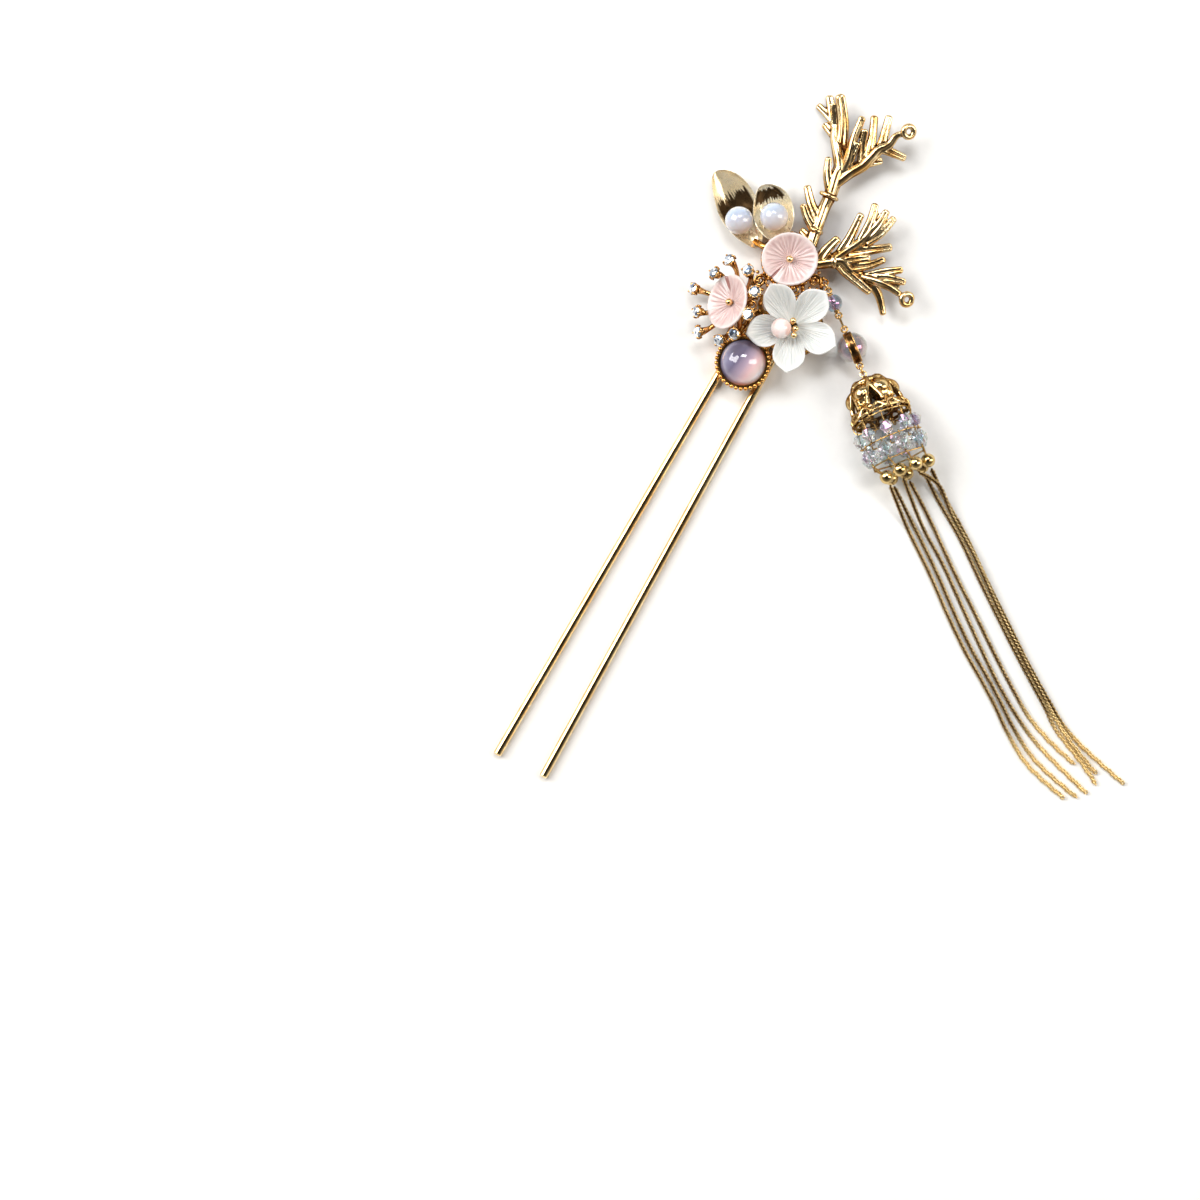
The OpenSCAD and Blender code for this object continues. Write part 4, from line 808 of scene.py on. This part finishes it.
# Rows in hundredths of the branch's size: place from its root, radius
upper_limbs = [
    [[0, 0, 0, 3.6], [-3, 15, 0, 3.5], [-5, 26, -1, 3.4], [-6, 35, -1, 3.6], [-9, 48, -2, 4.0],
     [-10, 55, -3, 4.2], [-17, 64, -4, 4.2], [-22, 70, -6, 4.0], [-27, 78, -7, 2.6]],
    [[-7, 44, -2, 3.6], [-3, 54, -1, 3.7], [2, 63, 0, 3.6], [4, 70, 1, 3.2], [6, 77, 2, 3.0],
     [10, 83, 3, 2.4], [11, 90, 4, 2.0], [14, 94, 5, 1.6]],
    [[-7, 50, -2, 2.8], [-8, 61, 2, 2.6], [-12, 75, 4, 2.4], [-14, 88, 5, 2.0]]]
upper_twigs = [
    [[-22, 71, -6, 3.0], [-33, 83, -10, 2.6], [-39, 90, -12, 2.3]],
    [[-14, 62, -4, 3.4], [-23, 80, -3, 3.0], [-33, 93, -2, 2.9]],
    [[-26, 77, -7, 2.6], [-34, 80, -10, 2.3], [-42, 82, -12.4, 2.0]],
    [[-21, 69, -6, 2.4], [-32, 73, -8, 2.1]],
    [[-8, 38, -1, 2.6], [-15, 46, 1, 2.3], [-19, 54, 2, 2.0]],
    [[-6, 54, -1, 2.4], [-7, 63, 3, 2.1], [-8, 72, 5, 1.9]],
    [[0, 65, 0, 2.4], [-5, 74, 2, 2.1], [-8, 82, 4, 1.9]],
    [[3, 69, 1, 2.6], [-2, 82, 0, 2.4], [-7, 93, -2, 2.2]],
    [[7, 77, 2, 2.6], [4, 88, 0, 2.4], [1, 98, -1, 2.2]],
    [[8, 79, 2, 2.6], [15, 80, 1, 2.4], [22, 81, -1, 2.2]],
    [[2, 64, 0, 2.6], [10, 71, -3, 2.2]],
    [[-4, 17, 0, 2.8], [-13, 23, -1, 2.5], [-21, 31, -3, 2.2]],
    [[-3, 10, 0, 2.6], [-11, 14, 2, 2.3], [-17, 19, 3, 2.0]],
    [[-1, 3, 0, 2.6], [-9, 5, -2, 2.2]]]
lower_limbs = [
    [[0, 0, 0, 5.2], [13, 10, 0, 5.2], [21, 15, 0, 5.2], [31, 12, 0, 4.6], [44, 13, -2, 4.0],
     [54, 12, -4, 4.0], [67, 6, -7, 3.4], [79, -6, -9, 2.6]],
    [[12, 10, 0, 4.8], [19, 25, 1, 4.4], [25, 36, 2, 4.2], [29, 46, 3, 3.8], [31, 62, 4, 3.2]],
    [[44, 13, -1, 3.2], [56, 15, 2, 3.6], [72, 17, 3, 3.0], [86, 16, 5, 2.4]]]
lower_twigs = [
    [[2, 2, 1, 4.4], [3, 16, 3, 4.0], [6, 29, 4, 3.4]],
    [[16, 22, 1, 4.0], [16, 39, 4, 3.6], [14, 60, 6, 3.0]],
    [[27, 42, 3, 4.0], [25, 60, 5, 3.4], [21, 75, 5, 3.0]],
    [[29, 44, 3, 4.0], [33, 60, 5, 3.4], [33, 75, 5, 3.0]],
    [[31, 42, 3, 4.0], [39, 57, 4, 3.4], [42, 73, 3, 3.0]],
    [[22, 25, 1, 4.2], [41, 40, 0, 3.6], [52, 49, -2, 3.4]],
    [[20, 14, 1, 3.6], [31, 23, 4, 3.0], [40, 30, 5, 2.6]],
    [[30, 13, 0, 3.8], [45, 25, 5, 3.4], [53, 35, 7, 3.0]],
    [[20, 12, 0, 4.4], [31, 8, 2, 4.0], [56, 4, 4, 3.4]],
    [[48, 14, 0, 3.6], [60, 26, 1, 3.6], [72, 36, 1, 3.0]],
    [[50, 14, 0, 3.6], [66, 23, 2, 3.6], [80, 28, 2, 3.0]]]
upper_webs = [[[-18, 66, -5, 3], [-25, 76, -5, 4.5], [-34, 89, -4, 4.5]]]
lower_webs = [
    [[26, 40, 2, 3], [29, 50, 3, 5.5], [32, 72, 4, 9]], [[50, 14, -1, 3], [66, 20, 1, 5], [80, 23, 2, 5]]]


def grooved(turn, share):
    """A stem's section: three deep grooves, which run a little askew along it."""
    return 0.84 + 0.26 * np.abs(np.cos(1.5 * turn + 2.5 * share)) ** 0.7


def gutter(turn, share):
    """A twig's section: round, with a deep hollow along the middle of its face."""
    return 1.02 - 0.55 * np.exp(-((turn - np.pi / 2) / 0.5) ** 2)


def flattened(turn, share):
    """A web's section: an ellipse a quarter as thick as it is wide."""
    return 1 / np.hypot(np.cos(turn), 4 * np.sin(turn))


def coral(name, limbs, twigs, webs, collars, along, ring_limb, size, root, node):
    """All stems as tubes about splines, with blunt ends, flat webs, collars as thick discs and the
    ring at a limb's tip, run together and lightly smoothed."""
    parts, tips = [], []
    for k, rows in enumerate(limbs + twigs):
        rows = np.array(rows) * size / 100
        twig = k >= len(limbs)
        rows[:, 3] *= np.linspace(1.25, 1.08, len(rows)) if twig else 1.08
        line = spline(rows, 12 * len(rows))
        path, radii = root + line[:, :3], line[:, 3]
        heading = unit(path[-1] - path[-4])
        wide = radii[-1]
        path = np.concatenate([path, path[-1:] + wide * np.outer([0.3, 0.6, 0.85, 1.0, 1.08], heading)])
        radii = np.concatenate([radii, wide * np.array([1.02, 0.94, 0.72, 0.44, 0.14])])
        parts += tube(path, radii * 1.06, 28, (0.1, 0.2, 1), gutter if twig else grooved)
        tips.append((path[-5], heading))
    for row in np.array(collars) * size / 100:
        spot = root + row[:3]
        swell = np.linspace(-1, 1, 9)
        reach = row[3] * (0.9 + 0.2 * np.sqrt(1 - swell ** 2))
        parts += tube(spot + np.outer(swell * 0.45, along), reach, 32)
    for rows in webs:
        rows = spline(np.array(rows) * size / 100, 16)
        parts += tube(root + rows[:, :3], rows[:, 3], 28, shape=flattened)
    end, heading = tips[ring_limb]
    tilt = math.radians(25)
    parts += hoop(end + coral_ring_r * heading, (math.sin(tilt), 0, math.cos(tilt)), coral_ring_r,
                  coral_wire, 48, 12)
    parts += post(root, coral_low, root[2], coral_pin_r)
    # The branches' hollows are darkened as painted shade, through the attribute shade.
    return piece(name, parts, coral_gold, "gold", node, grain=coral_grain, rounds=4, hollow=7)


coral_gold = plated("coral_gold", (1.0, 0.80, 0.47), (0.78, 0.46, 0.16), 0.2, 420, 0.1, 0.85, 0.95)
upper_root = pink_at + pink_d * np.array([0.2, 0.42, 0])
lower_root = pink_at + pink_d * np.array([0.43, 0.17, 0])
upper_z, lower_z = 4.584, 4.594
upper_root[2], lower_root[2] = upper_z, lower_z
upper_collars, lower_collars = [[-2, 10, 0, 4.6], [-6.5, 34, -1, 6.2]], [[14, 11, 0, 6.8]]
coral("coral_upper", upper_limbs, upper_twigs, upper_webs, upper_collars, (-0.12, 0.99, 0),
      1, upper_size, upper_root, "coral_upper_branch")
coral("coral_lower", lower_limbs, lower_twigs, lower_webs, lower_collars, (0.78, 0.62, 0),
      2, lower_size, lower_root, "coral_lower_branch")

# The top of the tassel
# Brass links and eye pins, closed through one another, carry a small and a large round bead of
# coated glass. They hang from the filigree's eye, and wire is wrapped round the ends of each bead.
antique_gold = plated("antique_gold", (0.88, 0.60, 0.27), (0.52, 0.31, 0.10), 0.2, 700, 0.1, 0.3)
dress(antique_gold, "top_link", "long_oval_link", "cap_link", "eye_pin_small", "eye_pin_large")


def cut_glass(name, grain, *stops):
    """Cut glass with a thin coat of colour: clear where light passes, tinted in patches of the
    grain's size, each at a chance place along the stops."""
    made, tree = skin(name, {
        "Transmission Weight": 0.9, "IOR": 1.52, "Roughness": 0.07, "Thin Film Thickness": 420,
        "Thin Film IOR": 1.9, "Coat Weight": 1, "Coat Roughness": 0.01})
    chance = step(tree, "SeparateColor", {0: local(tree, "TexVoronoi", {"Scale": grain}, "Color")}, "Red")
    coat(tree, {"Base Color": ramp(tree, chance, *stops)})
    return made


def aimed(points, at, along):
    """Points whose Z is turned to the way along, and whose origin is moved to the place at."""
    turn = Vector((0, 0, 1)).rotation_difference(Vector(along))
    return points @ np.array(turn.to_matrix()).T + at


small_at, large_at = centre("crystal_small"), centre("crystal_large")
along = unit(large_at - small_at)
blue_glass = cut_glass("blue_glass", 520, (0.15, (0.12, 0.50, 0.72)), (0.5, (0.70, 0.74, 0.80)),
                       (0.85, (0.55, 0.42, 0.66)))
rose_glass = cut_glass("rose_glass", 350, (0.15, (0.93, 0.84, 0.90)), (0.5, (0.97, 0.95, 0.97)),
                       (0.85, (0.80, 0.78, 0.86)))
tilt = np.linspace(-1.07, 1.07, 25)
arc = np.stack([np.cos(tilt), np.sin(tilt)], -1)
trimmings = []
bead_bore, wrap_r, wrap_wire = 0.45, 0.44, 0.2
# Name, radius, middle, glass, how far from the middle its wire wraps sit
beads = (("small", 1.85, small_at, blue_glass, 1.8), ("large", 3.2, large_at, rose_glass, 3.06))
for name, radius, at, glass, end in beads:
    profile = [*(radius * arc), [bead_bore, radius * arc[-1, 1]], [bead_bore, radius * arc[0, 1]]]
    piece("bead_" + name, moved(lathe(profile, 48), lambda q: aimed(q, at, along)), glass,
          "iridescent_crystal", "crystal_" + name)
    for way in (-1, 1):
        trimmings += hoop(at + way * end * along, along, wrap_r, wrap_wire, 24)
piece("wire_wraps", trimmings, antique_gold, "gold")

# The clasp
# A bent strip of bronze between two gold rails, which closes over the large bead from the link
# above it to the wire below it.
strip_r, strip_wide, strip_t, rail_r, rail_end_r = 3.62, 0.8, 0.22, 0.14, 0.2
strip_side = unit(np.cross([0, 0, 1], along))
strip_up = np.cross(along, strip_side)
bow = np.linspace(-0.95, 1.2, 25)[:, None]
strip_line = large_at + strip_r * (np.sin(bow) * along + np.cos(bow) * strip_up)
rails = []
for way in (-1, 1):
    rails += tube(strip_line + way * strip_wide * strip_side, rail_r, 10, strip_side)
for end in (0, -1):
    bar = strip_line[end] + np.outer(np.linspace(-strip_wide, strip_wide, 5), strip_side)
    rails += tube(bar, rail_end_r, 10)
piece("clasp_rails", rails, antique_gold, "gold")
bronze = plated("bronze", (0.30, 0.15, 0.05), (0.10, 0.05, 0.02), 0.22, 600, 0.05)


def widened(points):
    """Points whose distance sideways from the clasp's middle is grown to the strip's width."""
    reach = (points - large_at) @ strip_side
    return points + np.outer(reach * (strip_wide / strip_t - 1), strip_side)


piece("clasp_strip", moved(tube(strip_line, strip_t, 16, strip_side), widened), bronze, "gold")

# The lantern's cap
# A pierced bell of six embossed petals cast in brass, with a boss on each, bars between them and
# a scalloped rim, hung from its loop. It lies on its belly.
tassel_turn = math.radians(-36.5)
cap_l, cap_r, cap_wall = 9.9, 6.5, 0.6
bail = centre("cap_link") + 0.94 * along
cap_pitch = math.atan2(cap_r, cap_l) + math.asin((0.1 - bail[2]) / math.hypot(cap_r, cap_l))
petal_count = 6
# Columns: share of the cap's length from its bail, share of its radius
cap_rows = np.array([[0.065, 0.0], [0.11, 0.2], [0.19, 0.48], [0.26, 0.56], [0.42, 0.71], [0.62, 0.80],
                     [0.84, 0.86], [1.0, 1.0]])


def on_cap(points):
    """From the cap's frame, with X from the bail through the cap, to the hairpin's."""
    return turned(points, ("Y", -cap_pitch), ("Z", tassel_turn)) + bail


def on_bell(t, turn, lift=0.0):
    """Points on the bell in the cap's frame: t along it as a share, turn round it from the side
    that faces up, lift off its surface."""
    radius = cap_r * np.interp(t, cap_rows[:, 0], cap_rows[:, 1]) + lift
    t, turn, radius = np.broadcast_arrays(t, turn, radius)
    return np.stack([cap_l * t, radius * np.sin(turn), radius * np.cos(turn)], -1)


def petal_reach(t):
    """A petal's half angle: sixty degrees' half at its neck, narrower beside the openings, closing
    in a round end."""
    beside = np.radians(28) - np.radians(15) * np.clip((t - 0.3) / 0.42, 0, 1)
    return beside * np.sqrt(np.clip(1 - (np.maximum(t - 0.7, 0) / 0.17) ** 2, 0.0004, 1))


def cap_petal(middle):
    """A petal as closed sections along the bell: ribs and a raised edge on its face, a boss in its
    middle and a pit below the boss, a smooth back."""
    t = np.linspace(0.12, 0.868, 64)[:, None]
    across = np.linspace(-1, 1, 41)
    loop = np.concatenate([across, across[::-1]])[None]
    on_top = np.arange(loop.size) < len(across)
    turn = middle + loop * petal_reach(t)
    wide = cap_r * np.interp(t, cap_rows[:, 0], cap_rows[:, 1]) * (turn - middle)
    from_boss = np.hypot(wide, (t - 0.45) * cap_l)
    from_pit = np.hypot(wide, (t - 0.72) * cap_l)
    ribs = 0.2 * np.cos(6 * loop) * np.clip(from_boss / 1.7 - 0.8, 0, 1)
    edge = 0.38 * np.clip((np.abs(loop) - 0.78) / 0.22, 0, 1)
    boss = 1.1 * np.sqrt(np.clip(1 - (from_boss / 1.7) ** 2, 0, 1))
    pit = -0.5 * np.clip(1.5 - from_pit / 0.7, 0, 1)
    lift = np.where(on_top, ribs + edge + boss + pit, -cap_wall)
    return [(on_bell(t, turn, lift).reshape(-1, 3), *grid(len(t), loop.size)),
            sheet_ends(len(t), loop.size)]


def outside(points, normals):
    """How far the cap's outside faces up, and nothing on its inside, which so gets painted shade."""
    axis = on_cap(np.array([[1.0, 0, 0]]))[0] - bail
    spoke = points - bail - np.outer((points - bail) @ axis, axis)
    return normals[:, 2] * (np.sum(spoke * normals, 1) > 0)


cap_loop_r, cap_loop_wire, bar_r = 0.62, 0.22, 0.36
cap_parts = hoop(np.zeros(3), (0, 0, 1), cap_loop_r, cap_loop_wire)
crown_rows = cap_rows[:4] * [cap_l, cap_r]
crown = lathe([[0.02, crown_rows[0, 0]], *crown_rows[1:, ::-1].tolist(), [3.1, 2.75], [0.02, 2.0]], 48)
cap_parts += moved(crown, lambda q: q[:, [2, 1, 0]])
# Columns: share of the cap's length, share of its radius, wire's radius, points round
for far, wide, wire, segs in ((0.24, 0.545, 0.3, 72), (0.86, 0.85, 0.3, 96), (0.985, 0.95, 0.36, 96)):
    cap_parts += hoop(np.array([far * cap_l, 0, 0]), (1, 0, 0), wide * cap_r, wire, segs)
share = np.linspace(0, 1, 17)
for k in range(petal_count):
    middle = 2 * np.pi / petal_count * (k + 0.5)
    cap_parts += cap_petal(middle)
    t = np.linspace(0.15, 0.8, 24)
    for side in (-1, 1):
        bar = on_bell(t, middle + side * petal_reach(np.minimum(t, 0.7)) * 1.04, 0.1)
        cap_parts += tube(bar, bar_r, 12, (0.3, 0.2, 1))
    for half in (0, 1):
        start = middle + np.pi / petal_count * (half - 0.5)
        arch = on_bell(1 - 0.15 * np.sin(np.pi * share), start + np.pi / petal_count * share, 0.05)
        cap_parts += tube(arch, bar_r, 12, (0.1, 0.3, 1))
cap_gold = plated("cap_gold", (1.0, 0.76, 0.38), (0.76, 0.46, 0.17), 0.17, 400, 0.08, 0.85, 0.85)
piece("cap", moved(cap_parts, on_cap), cap_gold, "gold", "lantern_cap", grain=0.12, rounds=1,
      facing=outside)

# The net
# Fine brass wires from hooks in the cap's rim, crossing in small rings, carry two rings of cut
# crystals and end in gold balls. It sags in ovals where it lies.
net_count, ball_count, net_wr, gap = 8, 7, 0.2, 0.1
upper_d, lower_d, ball_d = 3.0, 3.6, 3.0
joint_r, hook_r = 2.6 * net_wr, 1.15
net_in, hook_in = 0.9 * cap_r, 0.88 * cap_r
net_top = cap_l + joint_r + 1.3 * gap
hook_mid = net_top - hook_r / 2 + 0.2 * gap
ring_b = net_top * math.cos(cap_pitch) + 1.5 * upper_d
ring_c = ring_b + 1.22 * lower_d
ring_balls = ring_c + 0.93 * ball_d
bail_foot = bail * [1, 1, 0]


def on_net(points):
    """From the net's frame, with X along the floor from below the bail, to the hairpin's."""
    return turned(points, ("Z", tassel_turn)) + bail_foot


def oval(half_y, half_z, middle, x, turn, side=0.0):
    """A point on a ring of the net, which leans back with its height."""
    a = turn + math.radians(5.5) * np.sin(2 * turn)
    z = half_z * np.sin(a)
    return on_net(np.stack([x - 0.2 * z, side + half_y * np.cos(a), middle + z], -1))


around = even_turns(net_count)
between_them = around + np.pi / net_count
upper_mid, lower_mid = 0.65 * cap_r + 0.8 * upper_d, 0.65 * cap_r + lower_d / 2 + gap
rim_points = on_cap(np.stack([np.full(net_count, net_top), net_in * np.cos(around),
                              net_in * np.sin(around)], -1))
upper_ends = oval(0.98 * cap_r, 0.65 * cap_r, upper_mid, ring_b, around)
lower_tops = oval(0.95 * cap_r, 0.65 * cap_r, lower_mid, ring_b, between_them)
lower_ends = oval(0.95 * cap_r, 0.65 * cap_r, lower_mid, ring_c, between_them)
ball_turns = math.radians(9) + even_turns(ball_count)
balls = oval(0.74 * cap_r, 0.48 * cap_r, 0.48 * cap_r + ball_d / 2 + gap, ring_balls, ball_turns, 0.8)

strand_r, stem_r, eyelet_r, eyelet_wire, hook_wire = 0.16, 0.2, 0.36, 0.15, 0.15
sag = np.sin(np.pi * np.linspace(0, 1, 9))[:, None] * [0, 0, -0.12]
net_parts = moved(hoop(np.array([net_top, 0, 0]), (1, 0, 0), net_in, net_wr, 64), on_cap)
hook_parts = []
for k in range(net_count):
    turn = between_them[k]
    hook = np.array([hook_mid, -hook_in * math.sin(turn), hook_in * math.cos(turn)])
    hook_parts += moved(hoop(hook, (0, math.cos(turn), math.sin(turn)), hook_r, hook_wire, 24), on_cap)
    after = (k + 1) % net_count
    for start, end in ((rim_points[k], upper_ends[k]), (upper_ends[k], lower_tops[k]),
                       (lower_tops[k], upper_ends[after]), (lower_tops[k], lower_ends[k]),
                       (lower_ends[k], lower_ends[after])):
        net_parts += tube(np.linspace(start, end, 9) + sag, strand_r, 10, (0.2, 0.3, 1))
    for spot, way in ((rim_points[k], upper_ends[k]), (upper_ends[k], lower_tops[k]),
                      (lower_tops[k], lower_ends[k]), (lower_ends[k], lower_tops[k])):
        net_parts += hoop(spot, np.cross(way - spot, [0, 0, 1]), eyelet_r, eyelet_wire, 20, 8)
for k in range(ball_count):
    net_parts += tube(np.linspace(lower_ends[k], balls[k], 9), stem_r, 10, (0.2, 0.3, 1))
net_gold = plated("net_gold", (0.86, 0.60, 0.26), (0.45, 0.26, 0.08), 0.2, 600, 0.05, 0, 0.85)
piece("net", net_parts, net_gold, "gold", "net_wire")
piece("hooks", hook_parts, net_gold, "gold", "net_hooks")
ball_gold = plated("ball_gold", (0.86, 0.64, 0.30), (0.60, 0.42, 0.16), 0.14, 300, 0.04)
dress(ball_gold, "net_balls")

coated_glass = cut_glass("coated_glass", 420, (0.15, (0.66, 0.86, 0.92)), (0.38333, (0.97, 0.98, 1.0)),
                         (0.85, (0.98, 0.98, 1.0)), (0.8505, (0.78, 0.62, 0.92)))
# Columns: radius and height as shares of the bead's width, turn in half steps
bead_rings = np.array([[0.27, -0.44, 0], [0.52, 0, 1], [0.27, 0.44, 0]])
bore = 0.25
rings = (("upper", upper_d, rim_points, upper_ends), ("lower", lower_d, lower_tops, lower_ends))
for name, d, starts, ends in rings:
    strung = []
    walls = bead_rings * [d, d, 1]
    drilled = [[bore, walls[0, 1], 0], *walls, [bore, walls[-1, 1], 0]]
    for start, end in zip(starts, ends):
        way = unit(end - start)
        spot = end - (joint_r + gap + 0.44 * d) * way
        strung += moved(facets(drilled, 8, bored=True), lambda q: aimed(q, spot, way))
    piece("cut_net_" + name, strung, coated_glass, "iridescent_crystal", "net_crystals_" + name,
          smooth=False)

# The chains
# Seven fine curb chains, two or three links to the millimetre, hang from the balls. Their colour carries
# painted light: every other link is darker as painted shade, and their last stretch, which is kinked, is
# bright with a painted highlight.
chain_d, link_pitch, link_long, link_wide, link_wr = 0.95, 0.46, 0.40, 0.30, 0.15
# The ball that each chain hangs from
chain_balls = [3, 4, 2, 5, 6, 0, 1]
# Places of each chain from its ball to its end, counted from the middle of the head
routes = [
    [[47.3, -11.9], [55.9, -17.5], [63.8, -23.1], [70.8, -27.7], [76.8, -31.1], [82.1, -34.3],
     [86.2, -37.1], [92.0, -40.4], [97.0, -42.0], [104.3, -43.3]],
    [[48.0, -10.7], [56.7, -16.3], [64.6, -21.9], [71.5, -26.5], [77.5, -29.9], [82.8, -33.1],
     [87.0, -35.8], [92.8, -38.8], [98.2, -40.4], [106.5, -41.8]],
    [[46.6, -7.8], [51.0, -10.8], [57.2, -14.4], [64.8, -19.6], [72.2, -24.7], [79.0, -29.2],
     [86.0, -33.2], [92.0, -35.9], [98.0, -37.7], [107.5, -39.9]],
    [[49.5, -7.4], [56.3, -12.0], [62.0, -15.8], [67.7, -19.4], [76.0, -24.8], [83.5, -29.4],
     [88.9, -32.4], [94.0, -34.2], [98.4, -35.3], [102.4, -36.0]],
    [[49.4, -3.4], [57.6, -8.0], [66.5, -13.9], [76.0, -20.0], [81.6, -23.5], [87.0, -26.7],
     [91.2, -29.2], [95.4, -31.9], [102.6, -34.7], [108.6, -37.4]],
    [[50.2, -2.2], [58.2, -6.8], [67.2, -12.8], [76.6, -18.8], [82.2, -22.4], [87.6, -25.6],
     [91.9, -28.0], [96.2, -30.3], [102.5, -32.2], [113.4, -34.3]],
    [[48.2, -0.9], [53.8, -4.8], [62.4, -9.9], [71.6, -16.2], [79.2, -21.1], [84.6, -24.4],
     [89.4, -27.3], [94.0, -30.0], [99.4, -32.6], [107.2, -35.4]]]
# Heights of the first places of the two chains that lie over others, and of all other places
route_z, route_heights = 0.5, {2: [3.6, 1.2], 6: [3.2, 1.7, 1.6, 1.6, 1.6, 1.6, 1.6, 1.6, 1.3]}


def brass_chain(name, dull, bright):
    """Plated metal with painted light: every other link darkened as painted shade, and a painted highlight
    that turns it bright near the chain's end.
    """
    made = plated(name, dull, (dull[0] * 0.6, dull[1] * 0.55, dull[2] * 0.5), 0.33, 900, 0.05, 0, 0.8)
    tree = made.node_tree
    _, link, share = pattern(tree)
    # Painted shade on every other link.
    dark = (dull[0] * 0.1, dull[1] * 0.07, dull[2] * 0.05, 1)
    coat(tree, {"Base Color": blend(tree, link, dark, under(tree))})
    # Painted highlight over the chain's last stretch.
    paint(tree, between(tree, share, 0.74, 0.84), bright)
    return made


def chain_links(start, route):
    """Oval links of round wire at even steps along the route, each leaning the other way than the
    last. Over the last fifth the chain waves a little."""
    line = spline([start, *(route + head)], 600)
    line[:, 2] = np.maximum(line[:, 2], chain_d / 2)
    far = np.concatenate([[0], np.cumsum(np.linalg.norm(np.diff(line, axis=0), axis=1))])
    count = int(far[-1] / link_pitch)
    at = (np.arange(count) + 0.5) * link_pitch
    spot = np.stack([np.interp(at, far, line[:, k]) for k in range(3)], -1)
    way = unit(np.gradient(spot, axis=0))
    side = unit(np.cross([0.0, 0, 1], way))
    rise = np.cross(way, side)
    kink = np.clip((at / far[-1] - 0.78) / 0.1, 0, 1)
    spot = spot + side * (0.09 * kink * np.sin(2 * np.pi * at / 3.1))[:, None]
    segs, sides = 14, 6
    a, b = even_turns(segs)[:, None], even_turns(sides)[None]
    u = ((link_long + link_wr * np.cos(b)) * np.cos(a)).reshape(1, -1)
    v = ((link_wide + link_wr * np.cos(b)) * np.sin(a)).reshape(1, -1)
    w = (-link_wr * np.sin(b) * np.ones_like(a)).reshape(1, -1)
    other = (np.arange(count) % 2)[:, None]
    wide, lean = np.where(other, 1.25, 0.7), np.where(other, 0.45, -0.95)
    v, w = wide * v * np.cos(lean) - w * np.sin(lean), wide * v * np.sin(lean) + w * np.cos(lean)
    points = (spot[:, None] + u[..., None] * way[:, None] + v[..., None] * side[:, None]
              + w[..., None] * rise[:, None])
    faces, _ = grid(segs, sides, closed_rows=True)
    faces = (faces[None] + segs * sides * np.arange(count)[:, None, None]).reshape(-1, 4)
    # The pattern holds which links get painted shade, and how far along the chain each is for its painted
    # highlight.
    places = np.repeat(np.stack([other[:, 0], at / far[-1]], -1), faces.size // count, axis=0)
    return [(points.reshape(-1, 3), faces, places)]


pale_brass = brass_chain("pale_brass", (0.96, 0.72, 0.36), (1.0, 0.76, 0.36))
dark_brass = brass_chain("dark_brass", (0.84, 0.62, 0.30), (0.95, 0.72, 0.34))
for k, route in enumerate(routes):
    start = balls[chain_balls[k]] + turned(np.array([[ball_d / 2 + 5 * gap, 0, 0]]), ("Z", tassel_turn))[0]
    name = "chain_%d" % (k + 1)
    brass = dark_brass if k in (5, 6) else pale_brass
    heights = route_heights.get(k, [])
    route = np.column_stack([route, heights + [route_z] * (len(route) - len(heights))])
    piece("links_of_" + name, chain_links(start, route), brass, "chain_gold", name)
